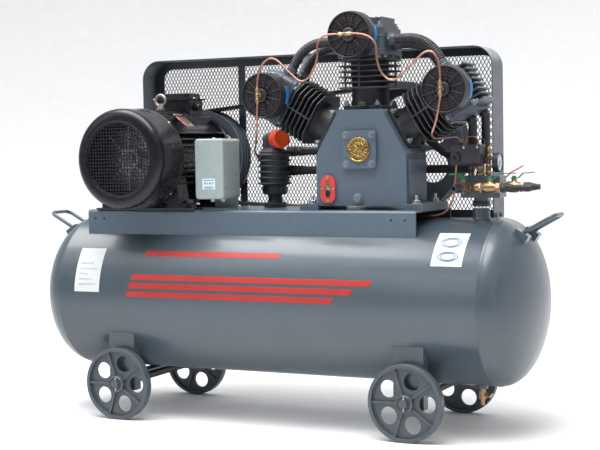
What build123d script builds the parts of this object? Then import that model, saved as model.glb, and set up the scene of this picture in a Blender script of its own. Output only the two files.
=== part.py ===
"""Belt-driven W-type air compressor on a wheeled horizontal receiver.

Units are millimetres. X runs along the receiver, Y points away from the control side, Z is up.
The origin is on the floor under the middle of the receiver.
"""

import math
import os

from build123d import *

os.makedirs("parts", exist_ok=True)

# ---------------------------------------------------------------- driving dimensions
GAP = 0.2                 # clearance where a bracket is fitted over a curved wall
FIT = 0.05                # radial clearance of a running fit

TANK_R = 250              # receiver outer radius
TANK_WALL = 5
TANK_Z = 390              # height of the receiver axis
BARREL_HALF = 715         # half the length of the rolled barrel
HEAD_DEPTH = 125          # depth of each dished head

WHEEL_R = 115
WHEEL_X = 495             # axles stand this far from the middle
WHEEL_IN, WHEEL_OUT = 232, 260
AXLE_R = 12.5
LEG_WIDTH = 95
LEG_Y = 224               # outer face of the leg plates

DECK_TOP = 668            # top of the platform
DECK_LEFT, DECK_RIGHT = -660, 496
DECK_HALF = 151.5
DECK_SHEET = 6

MOTOR_X, MOTOR_Z = -440, 834
MOTOR_R = 158             # tips of the cooling fins
FRAME_R = 136
STATOR_R = 126
MOTOR_FRONT, MOTOR_BACK = -165, 150
COWL_FRONT = -305
SHAFT_R = 22.5

CRANK_X, CRANK_Z = 300, 851
CRANK_THROW = 30
PIN_R = 19
ROD_LENGTH = 195
BANKS = {"left": -60.0, "centre": 0.0, "right": 60.0}
BANK_Y = {"left": -30, "centre": -15, "right": 0}
CASE_FRONT, CASE_BACK = -100, 65
CASE_FACE = 121           # crank axis to each cylinder seat
BORE_R = 45
CYLINDER_TOP = 284
FIN_START = 186           # crank axis to a cylinder's first fin
FIN_PITCH = 16.5
HEAD_TOP = 366
PISTON_UP = 57            # wrist pin to piston crown
PISTON_DOWN = 32          # wrist pin to the end of the skirt
ROD_STUB = 98             # wrist pin to the open end of the modelled rod

TERMINAL_Y = 76           # middle of the terminal box
TERMINAL_BOTTOM, LID_Z = 977, 1024
EYE_Y, EYE_Z = -40, 1022  # lifting eye

BELT_BACK, BELT_FRONT = 284, 216
GROOVES = (-19, 0, 19)
BELT_MIDDLE = (BELT_BACK + BELT_FRONT) / 2
PULLEY_R = 160
FLYWHEEL_R = 216
GROOVE_DEPTH = 14

GUARD_LEFT, GUARD_RIGHT = -660, 620
GUARD_TOP, GUARD_BOTTOM = 1169, 624
GUARD_FRONT, GUARD_BACK = 200, 303
GUARD_BAR = 26
GUARD_CORNER = 65
MESH_BACK = 305
GUARD_POST_X = -320

FILTER_R = 71
FILTER_H = 340            # crank axis to the middle of each intake filter

BLOCK_LEFT, BLOCK_RIGHT = 592, 715
BLOCK_FRONT, BLOCK_BACK = -30, 35
BLOCK_BOTTOM, BLOCK_TOP = 702, 767
RISER_X = 648
RISER_FOOT = 676
VALVE_Z = 733
DRAIN_X = 645
GAUGE_Z = 806


# ---------------------------------------------------------------- helpers
def save(piece, name):
    """Label a finished piece and write its file."""
    piece.part.label = name
    export_step(piece.part, f"parts/{name}.step")


def facing_front(x, z, y):
    """Plane at depth y whose normal points to the control side, local x and y being X and Z."""
    return Plane((x, y, z), x_dir=(1, 0, 0), z_dir=(0, -1, 0))


def facing_right(x, y, z):
    """Plane at x whose normal is +X, local x and y being Y and Z."""
    return Plane((x, y, z), x_dir=(0, 1, 0), z_dir=(1, 0, 0))


def bank_plane(bank, height):
    """Plane square to a cylinder's axis, this far out from the crank axis."""
    a = math.radians(BANKS[bank])
    out = Vector(math.sin(a), 0, math.cos(a))
    start = Vector(CRANK_X, BANK_Y[bank], CRANK_Z) + out * height
    return Plane(start, x_dir=(math.cos(a), 0, -math.sin(a)), z_dir=out)


def bank_point(bank, across, height, y):
    """A point given by its distances across and along a cylinder's axis."""
    a = math.radians(BANKS[bank])
    x = CRANK_X + across * math.cos(a) + height * math.sin(a)
    z = CRANK_Z - across * math.sin(a) + height * math.cos(a)
    return Vector(x, y, z)


def pin_height(bank):
    """Crank axis to wrist pin with the crankpin straight up."""
    a = math.radians(BANKS[bank])
    side = CRANK_THROW * math.sin(a)
    return CRANK_THROW * math.cos(a) + math.sqrt(ROD_LENGTH**2 - side**2)


def cut_tank(margin=GAP):
    """Cut the receiver's barrel and its clearance out of the piece being made."""
    with Locations((0, 0, TANK_Z)):
        Cylinder(TANK_R + margin, 2 * BARREL_HALF, rotation=(0, 90, 0), mode=Mode.SUBTRACT)


def cut_head():
    """Cut the right dished head's solid outline and its clearance out of the piece being made."""
    middle = BARREL_HALF - 60
    top = TANK_Z + TANK_R + GAP
    with BuildSketch(Plane.XZ) as outline:
        with BuildLine():
            rim = EllipticalCenterArc((BARREL_HALF, TANK_Z), HEAD_DEPTH + GAP, TANK_R + GAP,
                                      start_angle=0, arc_size=90)
            Polyline(rim @ 0, (middle, TANK_Z), (middle, top), rim @ 1)
        make_face()
    revolve(outline.sketch, axis=Axis((0, 0, TANK_Z), (1, 0, 0)), revolution_arc=360, mode=Mode.SUBTRACT)


def grooved_rim(radius, bore):
    """Half section of a three-groove rim, as (radius, y) points turned about Y."""
    points = [(bore, BELT_FRONT), (radius, BELT_FRONT)]
    for groove in GROOVES:
        y = BELT_MIDDLE + groove
        deep = radius - GROOVE_DEPTH
        points += [(radius, y - 8.6), (deep, y - 5), (deep, y + 5), (radius, y + 8.6)]
    return points + [(radius, BELT_BACK), (bore, BELT_BACK)]


# ---------------------------------------------------------------- receiver
with BuildPart() as tank_barrel:
    with BuildSketch(facing_right(-BARREL_HALF, 0, TANK_Z)):
        Circle(TANK_R)
        Circle(TANK_R - TANK_WALL, mode=Mode.SUBTRACT)
    extrude(amount=2 * BARREL_HALF)
    with BuildSketch(Plane.XY.offset(TANK_Z + TANK_R - 4.5)):
        with Locations((RISER_X, 0)):
            Circle(25)
    extrude(amount=RISER_FOOT - TANK_Z - TANK_R + 4.5)
    with BuildSketch(Plane.XY.offset(TANK_Z - TANK_R + 4.5)):
        with Locations((DRAIN_X, 0)):
            Circle(19)
    extrude(amount=-18)
    with Locations((RISER_X, 0, TANK_Z + TANK_R)):
        Cylinder(16, 100, mode=Mode.SUBTRACT)
save(tank_barrel, "tank_barrel")

with BuildPart() as tank_heads:
    with BuildSketch(Plane.XZ):
        with BuildLine():
            outer = EllipticalCenterArc((BARREL_HALF, TANK_Z), HEAD_DEPTH, TANK_R, start_angle=0,
                                        arc_size=90)
            inner = EllipticalCenterArc((BARREL_HALF, TANK_Z), HEAD_DEPTH - TANK_WALL,
                                        TANK_R - TANK_WALL, start_angle=0, arc_size=90)
            Line(outer @ 0, inner @ 0)
            Line(outer @ 1, inner @ 1)
        make_face()
    revolve(axis=Axis((0, 0, TANK_Z), (1, 0, 0)), revolution_arc=360)
    mirror(about=Plane.YZ)
save(tank_heads, "tank_heads")

# ---------------------------------------------------------------- legs, axles and wheels
with BuildPart() as legs:
    with BuildSketch(Plane.XY.offset(92)):
        with Locations((-WHEEL_X, 0), (WHEEL_X, 0)):
            Rectangle(LEG_WIDTH, 2 * LEG_Y)
            Rectangle(LEG_WIDTH, 2 * (LEG_Y - 34), mode=Mode.SUBTRACT)
            Rectangle(LEG_WIDTH - 10, 2 * (LEG_Y - 6), mode=Mode.SUBTRACT)
    extrude(amount=200)
    for x in (-WHEEL_X, WHEEL_X):
        with BuildSketch(Plane.XZ.offset(-(LEG_Y - 3))):
            with Locations((x, 136.5)):
                Rectangle(44, 6)
            with Locations((x - 19.5, 122)):
                Rectangle(5, 35)
        extrude(amount=2 * (LEG_Y - 3))
    with Locations((-WHEEL_X, 0, WHEEL_R), (WHEEL_X, 0, WHEEL_R)):
        Cylinder(AXLE_R + FIT, 2 * LEG_Y, rotation=(90, 0, 0), mode=Mode.SUBTRACT)
    cut_tank()
save(legs, "legs")

with BuildPart() as axles:
    for x in (-WHEEL_X, WHEEL_X):
        with BuildSketch(facing_front(x, WHEEL_R, 270)):
            Circle(AXLE_R)
        extrude(amount=540)
        for near, far in ((LEG_Y + GAP, WHEEL_IN - 2.4), (WHEEL_OUT + 2.4, WHEEL_OUT + 5.4)):
            for side in (-1, 1):
                with BuildSketch(facing_front(x, WHEEL_R, side * near)):
                    Circle(18 if near < WHEEL_IN else 24)
                extrude(amount=-side * (far - near))
save(axles, "axles")


def make_wheel(name, x, side):
    """Cast wheel with a pierced web, five ribs and a plain bore."""
    inner = Plane((x, side * WHEEL_IN, WHEEL_R), x_dir=(1, 0, 0), z_dir=(0, side, 0))
    width = WHEEL_OUT - WHEEL_IN
    with BuildPart() as wheel:
        with BuildSketch(inner):
            Circle(WHEEL_R)
            Circle(WHEEL_R - 11, mode=Mode.SUBTRACT)
        extrude(amount=width)
        fillet(wheel.edges().filter_by(GeomType.CIRCLE).group_by(SortBy.RADIUS)[-1], 2.5)
        with BuildSketch(inner.offset(9)):
            Circle(WHEEL_R - 10)
            with PolarLocations(67, 5, start_angle=216):
                Circle(26, mode=Mode.SUBTRACT)
        extrude(amount=7)
        with BuildSketch(inner.offset(4)):
            with PolarLocations(63, 5, start_angle=180):
                Rectangle(86, 5)
        extrude(amount=width - 8)
        with BuildSketch(inner.offset(-2)):
            Circle(26)
        extrude(amount=width + 4)
        with BuildSketch(inner.offset(-2)):
            Circle(AXLE_R + FIT)
        extrude(amount=width + 4, mode=Mode.SUBTRACT)
    save(wheel, name)


for name, x, side in (("wheel_front_left", -WHEEL_X, -1), ("wheel_front_right", WHEEL_X, -1),
                      ("wheel_rear_left", -WHEEL_X, 1), ("wheel_rear_right", WHEEL_X, 1)):
    make_wheel(name, x, side)

# ---------------------------------------------------------------- platform and handles
with BuildPart() as platform:
    with BuildSketch(facing_right(DECK_LEFT, 0, 0)):
        with BuildLine():
            FilletPolyline([(-DECK_HALF, 580), (-DECK_HALF, DECK_TOP), (DECK_HALF, DECK_TOP),
                            (DECK_HALF, 580)], radius=10)
            Line((DECK_HALF, 580), (DECK_HALF - DECK_SHEET, 580))
            FilletPolyline([(DECK_HALF - DECK_SHEET, 580), (DECK_HALF - DECK_SHEET, DECK_TOP - DECK_SHEET),
                            (DECK_SHEET - DECK_HALF, DECK_TOP - DECK_SHEET),
                            (DECK_SHEET - DECK_HALF, 580)], radius=4)
            Line((DECK_SHEET - DECK_HALF, 580), (-DECK_HALF, 580))
        make_face()
    extrude(amount=DECK_RIGHT - DECK_LEFT)
    with BuildSketch(Plane.XZ.offset(-200)):
        with Locations((DECK_LEFT + 28, 640), (DECK_LEFT + 62, 640), (DECK_RIGHT - 34, 640),
                       (DECK_RIGHT - 78, 640)):
            Circle(4)
    extrude(amount=400, mode=Mode.SUBTRACT)
    cut_tank()
save(platform, "platform")

HANDLE_ROD = 6
HANDLE_HALF = 52
with BuildPart() as handles:
    start = Vector(790, -HANDLE_HALF, 600)
    tip = Vector(890 - HANDLE_ROD, -HANDLE_HALF, 652)
    with BuildLine():
        bow = FilletPolyline([start, tip, Vector(tip.X, HANDLE_HALF, tip.Z),
                              Vector(start.X, HANDLE_HALF, start.Z)], radius=24)
    with BuildSketch(Plane(bow @ 0, z_dir=bow % 0)):
        Circle(HANDLE_ROD)
    sweep(path=bow)
    with Locations(Plane((786, 0, 590), x_dir=(0.85, 0, -0.53), z_dir=(0.53, 0, 0.85))):
        with Locations((0, -HANDLE_HALF, 0), (0, HANDLE_HALF, 0)):
            Box(44, 32, 30)
    cut_head()
    mirror(about=Plane.YZ)
save(handles, "handles")

# ---------------------------------------------------------------- motor
with BuildPart() as motor_frame:
    with BuildSketch(facing_front(MOTOR_X, MOTOR_Z, MOTOR_BACK)):
        with GridLocations(0, 20, 1, 9):
            Rectangle(2 * MOTOR_R, 4)
        with GridLocations(20, 0, 9, 1):
            Rectangle(4, 2 * MOTOR_R)
        Circle(MOTOR_R, mode=Mode.INTERSECT)
        Circle(FRAME_R)
        Circle(STATOR_R, mode=Mode.SUBTRACT)
    extrude(amount=MOTOR_BACK - MOTOR_FRONT)
    for back in (112, -96):
        with BuildSketch(facing_front(MOTOR_X, MOTOR_Z, back)):
            for side in (-1, 1):
                with BuildLine():
                    Polyline((side * 88, -160), (side * 160, -160), (side * 160, -144),
                             (side * 134, -144), (side * 122, -62), (side * 88, -110), close=True)
                make_face()
            Circle(STATOR_R, mode=Mode.SUBTRACT)
        extrude(amount=62)
    with Locations((MOTOR_X, -20, MOTOR_Z - 150)):
        with GridLocations(292, 176, 2, 2):
            Cylinder(6, 40, mode=Mode.SUBTRACT)
    with Locations((MOTOR_X, TERMINAL_Y, TERMINAL_BOTTOM - 15)):
        Box(116, 98, 30)
    with Locations((MOTOR_X, TERMINAL_Y, TERMINAL_BOTTOM + 20)):
        Box(150, 103, 40, mode=Mode.SUBTRACT)
    with Locations((MOTOR_X, EYE_Y, EYE_Z - 22)):
        Box(40, 40, 20, mode=Mode.SUBTRACT)
    with Locations((MOTOR_X, EYE_Y, MOTOR_Z + 142)):
        Cylinder(15, 28)
        Cylinder(6, 28, mode=Mode.SUBTRACT)
    with BuildSketch(facing_front(MOTOR_X, MOTOR_Z, MOTOR_BACK)):
        Circle(STATOR_R)
    extrude(amount=MOTOR_BACK - MOTOR_FRONT, mode=Mode.SUBTRACT)
save(motor_frame, "motor_frame")

with BuildPart() as motor_stator:
    with BuildSketch(facing_front(MOTOR_X, MOTOR_Z, 90)):
        Circle(STATOR_R - 0.1)
        Circle(80, mode=Mode.SUBTRACT)
    extrude(amount=200)
save(motor_stator, "motor_stator")

with BuildPart() as motor_end_bells:
    for back, depth, radius in ((MOTOR_FRONT, 22, FRAME_R), (168, 18, 150), (190, 22, 96)):
        with BuildSketch(facing_front(MOTOR_X, MOTOR_Z, back)):
            Circle(radius)
        extrude(amount=depth)
    with BuildSketch(facing_front(MOTOR_X, MOTOR_Z, 200)):
        Circle(50)
    extrude(amount=400, mode=Mode.SUBTRACT)
save(motor_end_bells, "motor_end_bells")

with BuildPart() as motor_fan_cover:
    with BuildSketch(Plane((MOTOR_X, 0, MOTOR_Z))):
        with BuildLine():
            Line((160, MOTOR_FRONT), (160, COWL_FRONT + 34))
            shoulder = ThreePointArc((160, COWL_FRONT + 34), (152, COWL_FRONT + 12),
                                     (134, COWL_FRONT + 2))
            Polyline(shoulder @ 1, (120, COWL_FRONT), (116, COWL_FRONT), (116, COWL_FRONT + 5),
                     (132, COWL_FRONT + 5))
            ThreePointArc((132, COWL_FRONT + 5), (149, COWL_FRONT + 15), (156.5, COWL_FRONT + 36))
            Polyline((156.5, COWL_FRONT + 36), (156.5, MOTOR_FRONT), (160, MOTOR_FRONT))
        make_face()
    revolve(axis=Axis((MOTOR_X, 0, MOTOR_Z), (0, 1, 0)), revolution_arc=360)
    with BuildSketch(facing_front(MOTOR_X, MOTOR_Z, COWL_FRONT + 5)):
        Circle(118)
        grille = [(x, z) for x in range(-100, 101, 20) for z in range(-100, 101, 20)
                  if math.hypot(x, z) < 101]
        with Locations(*grille):
            Rectangle(16, 16, mode=Mode.SUBTRACT)
    extrude(amount=2)
save(motor_fan_cover, "motor_fan_cover")

with BuildPart() as motor_rotor:
    with BuildSketch(facing_front(MOTOR_X, MOTOR_Z, 292)):
        Circle(SHAFT_R)
    extrude(amount=537)
    with BuildSketch(facing_front(MOTOR_X, MOTOR_Z, 90)):
        Circle(79)
    extrude(amount=200)
save(motor_rotor, "motor_rotor")

with BuildPart() as motor_fan:
    with BuildSketch(facing_front(MOTOR_X, MOTOR_Z, -200)):
        Circle(104)
        Circle(SHAFT_R, mode=Mode.SUBTRACT)
    extrude(amount=3)
    with BuildSketch(facing_front(MOTOR_X, MOTOR_Z, -203)):
        Circle(34)
        with PolarLocations(65, 8):
            Rectangle(78, 4)
        Circle(SHAFT_R, mode=Mode.SUBTRACT)
    extrude(amount=34)
save(motor_fan, "motor_fan")


def make_grooved_wheel(name, x, z, radius, bore, web, holes):
    """Three-groove pulley: rim, pierced web and hub."""
    with BuildPart() as pulley:
        with BuildSketch(Plane((x, 0, z))):
            with BuildLine():
                Polyline(*grooved_rim(radius, radius - 26), close=True)
            make_face()
        revolve(axis=Axis((x, 0, z), (0, 1, 0)), revolution_arc=360)
        with BuildSketch(facing_front(x, z, BELT_MIDDLE + web / 2)):
            Circle(radius - 25)
            with PolarLocations((radius - 26 + bore + 22) / 2, holes, start_angle=90):
                Circle((radius - 26 - bore - 22) * 0.36, mode=Mode.SUBTRACT)
        extrude(amount=web)
        with BuildSketch(facing_front(x, z, BELT_BACK - 4)):
            Circle(bore + 22)
        extrude(amount=60)
        with BuildSketch(facing_front(x, z, BELT_BACK)):
            Circle(bore)
        extrude(amount=90, mode=Mode.SUBTRACT)
    save(pulley, name)


make_grooved_wheel("motor_pulley", MOTOR_X, MOTOR_Z, PULLEY_R, SHAFT_R, 14, 6)
make_grooved_wheel("flywheel", CRANK_X, CRANK_Z, FLYWHEEL_R, SHAFT_R, 16, 6)

with BuildPart() as drive_belts:
    for groove in GROOVES:
        for inset, mode in ((0.5, Mode.ADD), (11, Mode.SUBTRACT)):
            with BuildSketch(Plane((0, BELT_MIDDLE + groove + 8, 0), x_dir=(1, 0, 0),
                                   z_dir=(0, -1, 0))):
                with Locations((MOTOR_X, MOTOR_Z)):
                    Circle(PULLEY_R - inset)
                with Locations((CRANK_X, CRANK_Z)):
                    Circle(FLYWHEEL_R - inset)
                make_hull()
            extrude(amount=16, mode=mode)
    for side in drive_belts.faces().filter_by(Axis.Y):
        chamfer(side.inner_wires()[0].edges(), length=9.8, length2=2.7, reference=side)
save(drive_belts, "drive_belts")

with BuildPart() as bearings:
    for x, z, back, width, inner, outer in (
            (MOTOR_X, MOTOR_Z, MOTOR_FRONT, 20, SHAFT_R, 50), (MOTOR_X, MOTOR_Z, 188, 22, SHAFT_R, 50),
            (CRANK_X, CRANK_Z, CASE_FRONT + 22, 20, 20, 42), (CRANK_X, CRANK_Z, CASE_BACK, 20, SHAFT_R, 45)):
        with BuildSketch(facing_front(x, z, back)):
            Circle(outer)
            Circle(inner + FIT, mode=Mode.SUBTRACT)
        extrude(amount=width)
save(bearings, "bearings")

with BuildPart() as terminal_box:
    with Locations((MOTOR_X, TERMINAL_Y, (TERMINAL_BOTTOM + LID_Z) / 2)):
        Box(132, 101, LID_Z - TERMINAL_BOTTOM)
    fillet(terminal_box.edges().filter_by(Axis.Z), 10)
    offset(amount=-5, openings=terminal_box.faces().sort_by(Axis.Z)[-1])
    with Locations(Plane((MOTOR_X + 66, TERMINAL_Y, TERMINAL_BOTTOM + 24), x_dir=(0, 1, 0),
                         z_dir=(1, 0, 0))):
        Cylinder(13, 16)
save(terminal_box, "terminal_box")

with BuildPart() as terminal_box_lid:
    with BuildSketch(Plane.XY.offset(LID_Z)):
        with Locations((MOTOR_X, TERMINAL_Y)):
            RectangleRounded(142, 111, 12)
            with GridLocations(154, 60, 2, 2):
                Circle(8)
    extrude(amount=4)
    with BuildSketch(Plane.XY.offset(LID_Z + 4)):
        with Locations((MOTOR_X, TERMINAL_Y)):
            RectangleRounded(124, 93, 12)
    extrude(amount=18, taper=8)
save(terminal_box_lid, "terminal_box_lid")

with BuildPart() as motor_eyebolt:
    with Locations((MOTOR_X, EYE_Y, EYE_Z)):
        Torus(18, 4.5, rotation=(90, 0, 0))
    with Locations((MOTOR_X, EYE_Y, EYE_Z - 27)):
        Cylinder(13, 10)
        Cylinder(6, 34)
save(motor_eyebolt, "motor_eyebolt")

with BuildPart() as motor_slide_rails:
    for y in (-127, 81):
        with Locations((MOTOR_X, y, DECK_TOP + 3)):
            Box(370, 56, 6)
save(motor_slide_rails, "motor_slide_rails")

# ---------------------------------------------------------------- belt guard
def guard_outline(inset, y):
    """Guard's outline set in by a margin, with large corners at the top and small ones below."""
    left, right = GUARD_LEFT + inset, GUARD_RIGHT - inset
    low, high = GUARD_BOTTOM + inset, GUARD_TOP - inset
    with BuildSketch(facing_front(0, 0, y)) as outline:
        with BuildLine():
            FilletPolyline([(left, low), (left, high), (right, high), (right, low)],
                           radius=[6, GUARD_CORNER - inset, GUARD_CORNER - inset, 6], close=True)
        make_face()
    return outline.sketch


with BuildPart() as belt_guard:
    for depth, bar in ((GUARD_BACK - GUARD_FRONT, 3), (3, GUARD_BAR)):
        rim = guard_outline(0, GUARD_BACK) - guard_outline(bar, GUARD_BACK)
        extrude(rim, amount=depth)
    with BuildSketch(facing_front(GUARD_POST_X, (GUARD_TOP + GUARD_BOTTOM) / 2, GUARD_BACK)):
        Rectangle(GUARD_BAR, GUARD_TOP - GUARD_BOTTOM - 2)
    extrude(amount=3)
    # slots that let the receiver's lugs through the lower strip
    with Locations((GUARD_LEFT + 9.5, 247, GUARD_BOTTOM), (GUARD_RIGHT - 9.5, 247, GUARD_BOTTOM)):
        Box(13, 78, 20, mode=Mode.SUBTRACT)
save(belt_guard, "belt_guard")

with BuildPart() as guard_mesh:
    extrude(guard_outline(4, MESH_BACK), amount=MESH_BACK - GUARD_BACK)
save(guard_mesh, "guard_mesh")

STAY_FOOT = bank_point("left", 84, 337, 36)
STAY_HEAD = Vector(-18, 207, 1162)
with BuildPart() as guard_stay:
    run = STAY_HEAD - STAY_FOOT
    with BuildSketch(Plane(STAY_FOOT, x_dir=Vector(-run.Y, run.X, 0), z_dir=run)):
        Rectangle(27, 3)
    extrude(amount=run.length)
    with Locations(Plane(bank_point("left", 79.2, 337, 34), x_dir=(0, 1, 0), z_dir=(0.5, 0, 0.866))):
        Box(22, 27, 6)
    with Locations((STAY_HEAD.X, STAY_HEAD.Y + 10, 1163.8)):
        Box(27, 34, 4)
    # lugs that stand on the receiver and carry the guard's lower strip
    for x in (GUARD_LEFT + 6, GUARD_RIGHT - 6):
        with BuildSketch(facing_right(x - 3 + GAP, 0, 0)):
            with BuildLine():
                Polyline((212, 500), (212, 650), (282, 650), (232, 560), (232, 470), close=True)
            make_face()
        extrude(amount=6 - 2 * GAP)
    cut_tank(0)
save(guard_stay, "guard_stay")

# ---------------------------------------------------------------- starter
STARTER_X, STARTER_Z = -190, 798
STARTER_WIDE, STARTER_TALL = 100, 188
STARTER_BACK, STARTER_SPLIT, STARTER_FRONT = -58, -138, -168
with BuildPart() as starter_box:
    with BuildSketch(facing_front(STARTER_X, STARTER_Z, STARTER_BACK)):
        RectangleRounded(STARTER_WIDE, STARTER_TALL, 10)
    extrude(amount=STARTER_BACK - STARTER_SPLIT)
    offset(amount=-3, openings=starter_box.faces().sort_by(Axis.Y)[0])
    with BuildSketch(facing_right(STARTER_X - 42, 0, 0)):
        with BuildLine():
            Polyline((-132, DECK_TOP), (STARTER_BACK + 4, DECK_TOP), (STARTER_BACK + 4, 870),
                     (STARTER_BACK, 870), (STARTER_BACK, DECK_TOP + 4), (-132, DECK_TOP + 4), close=True)
        make_face()
    extrude(amount=84)
save(starter_box, "starter_box")

with BuildPart() as starter_lid:
    with BuildSketch(facing_front(STARTER_X, STARTER_Z, STARTER_SPLIT)):
        RectangleRounded(STARTER_WIDE + 2, STARTER_TALL + 2, 11)
    extrude(amount=STARTER_SPLIT - STARTER_FRONT)
    fillet(starter_lid.faces().sort_by(Axis.Y)[0].edges(), 6)
    offset(amount=-3, openings=starter_lid.faces().sort_by(Axis.Y)[-1])
save(starter_lid, "starter_lid")

# ---------------------------------------------------------------- finned check valve
CHECK_X, CHECK_Y = -77, 65
CAP_AIM = Vector(0.77, -0.64, 0)
CAP_Z = 889
PORT_Y = 95
PORTS = (848, 786)
with BuildPart() as check_valve_body:
    with BuildSketch(Plane((CHECK_X, CHECK_Y, DECK_TOP))):
        RegularPolygon(32, 6, major_radius=False)
    extrude(amount=16)
    for low, high, radius in ((684, 709, 23), (709, 740, 38.5), (740, 850, 48), (850, 858, 36),
                              (858, 895, 20)):
        with BuildSketch(Plane((CHECK_X, CHECK_Y, low))):
            Circle(radius)
        extrude(amount=high - low)
    for k in range(6):
        with BuildSketch(Plane((CHECK_X, CHECK_Y, 742 + 18.5 * k))):
            Circle(55)
        extrude(amount=7)
    with BuildSketch(Plane((CHECK_X, CHECK_Y, 716))):
        Circle(30)
    extrude(amount=124, mode=Mode.SUBTRACT)
    with BuildSketch(Plane((CHECK_X, CHECK_Y, CAP_Z), x_dir=(0, 0, 1), z_dir=CAP_AIM)):
        Circle(24)
    extrude(amount=44)
    with BuildSketch(Plane((CHECK_X - 26, CHECK_Y - 4, 845))):
        Circle(13)
    extrude(amount=63)
    with Locations((CHECK_X - 26, CHECK_Y - 4, 904)):
        Cylinder(16, 12)
    for z in PORTS:
        with BuildSketch(facing_right(CHECK_X + 36, PORT_Y, z)):
            RegularPolygon(19, 6)
        extrude(amount=34)
save(check_valve_body, "check_valve_body")

with BuildPart() as check_valve_cap:
    with BuildSketch(Plane((CHECK_X, CHECK_Y, CAP_Z), x_dir=(0, 0, 1), z_dir=CAP_AIM).offset(22)):
        Circle(30)
    extrude(amount=42)
    fillet(check_valve_cap.faces().sort_by(Axis(origin=(0, 0, 0), direction=CAP_AIM))[-1].edges(), 4)
    with BuildSketch(Plane((CHECK_X, CHECK_Y, CAP_Z), x_dir=(0, 0, 1), z_dir=CAP_AIM)):
        Circle(24)
    extrude(amount=44, mode=Mode.SUBTRACT)
save(check_valve_cap, "check_valve_cap")

# ---------------------------------------------------------------- crankcase and crankshaft
CASE_HALF = 148
SEAT_SIN, SEAT_COS = math.sin(math.radians(60)), math.cos(math.radians(60))
CASE_TOP_HALF = CASE_FACE * (1 - SEAT_COS) / SEAT_SIN
CASE_CORNER = (CASE_FACE - CASE_HALF * SEAT_SIN) / SEAT_COS  # height of the side corners
with BuildPart() as crankcase:
    for inset, back, depth, mode in ((0, CASE_BACK, CASE_BACK - CASE_FRONT, Mode.ADD),
                                     (-10, CASE_BACK - 9, CASE_BACK - CASE_FRONT - 18, Mode.SUBTRACT)):
        with BuildSketch(facing_front(CRANK_X, CRANK_Z, back)):
            with BuildLine():
                floor = DECK_TOP + 12 - CRANK_Z
                Polyline((-CASE_HALF, floor), (CASE_HALF, floor), (CASE_HALF, CASE_CORNER),
                         (CASE_TOP_HALF, CASE_FACE), (-CASE_TOP_HALF, CASE_FACE),
                         (-CASE_HALF, CASE_CORNER), close=True)
            make_face()
            if inset:
                offset(amount=inset, mode=Mode.REPLACE)
        extrude(amount=depth, mode=mode)
    with Locations((CRANK_X - 172, -2, DECK_TOP + 9), (CRANK_X + 172, -2, DECK_TOP + 9)):
        Box(62, 214, 18)
    with BuildSketch(facing_front(CRANK_X, CRANK_Z, CASE_BACK)):
        Circle(56)
    extrude(amount=22)
    with BuildSketch(facing_front(CRANK_X, CRANK_Z, CASE_BACK)):
        Circle(45)
    extrude(amount=30, mode=Mode.SUBTRACT)
    with BuildSketch(facing_front(CRANK_X, CRANK_Z, CASE_FRONT + 20)):
        Circle(47.2)
    extrude(amount=30, mode=Mode.SUBTRACT)
    for bank in BANKS:
        with BuildSketch(bank_plane(bank, CASE_FACE - 20)):
            Circle(BORE_R + 1)
        extrude(amount=30, mode=Mode.SUBTRACT)
    for x in (-172, 172):
        with Locations((CRANK_X + x, -80, DECK_TOP + 9), (CRANK_X + x, 76, DECK_TOP + 9)):
            Cylinder(7, 40, mode=Mode.SUBTRACT)
save(crankcase, "crankcase")

with BuildPart() as crankcase_covers:
    with BuildSketch(facing_front(CRANK_X, CRANK_Z, CASE_FRONT)):
        RectangleRounded(110, 114, 12)
    extrude(amount=12)
    with BuildSketch(facing_front(CRANK_X, CRANK_Z, CASE_FRONT - 12)):
        Circle(37)
    extrude(amount=3)
    with BuildSketch(facing_front(CRANK_X, CRANK_Z, CASE_FRONT + 22)):
        Circle(47)
        Circle(42, mode=Mode.SUBTRACT)
    extrude(amount=22)
    with BuildSketch(facing_front(CRANK_X, CRANK_Z, CASE_BACK + 8)):
        Circle(62)
        Circle(SHAFT_R + 1, mode=Mode.SUBTRACT)
    extrude(amount=8)
    for side in (-1, 1):
        with Locations((CRANK_X + side * (CASE_HALF + 4), -18, 765)):
            Box(8, 130, 110)
save(crankcase_covers, "crankcase_covers")

PIN_Z = CRANK_Z + CRANK_THROW
ROD_WIDE = 12
with BuildPart() as crankshaft:
    for x_back, length, radius, z in ((-62, 34, 20, CRANK_Z), (292, 264, SHAFT_R, CRANK_Z),
                                      (11, 52, PIN_R, PIN_Z)):
        with BuildSketch(facing_front(CRANK_X, z, x_back)):
            Circle(radius)
        extrude(amount=length)
    for back, thick in ((28, 17), (-41, 21)):
        with BuildSketch(facing_front(CRANK_X, CRANK_Z, back)):
            with Locations((0, CRANK_THROW)):
                Circle(27)
            Circle(36)
            make_hull()
            with Locations((0, 0)):
                Circle(80)
            with Locations((0, 56)):
                Rectangle(170, 100, mode=Mode.SUBTRACT)
            with Locations((0, CRANK_THROW)):
                Circle(27)
            Rectangle(54, 60)
        extrude(amount=thick)
    for bank in BANKS:
        with BuildSketch(facing_front(CRANK_X, PIN_Z, BANK_Y[bank] + ROD_WIDE / 2)):
            Circle(30)
            Circle(PIN_R + FIT, mode=Mode.SUBTRACT)
        extrude(amount=ROD_WIDE)
save(crankshaft, "crankshaft")


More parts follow.
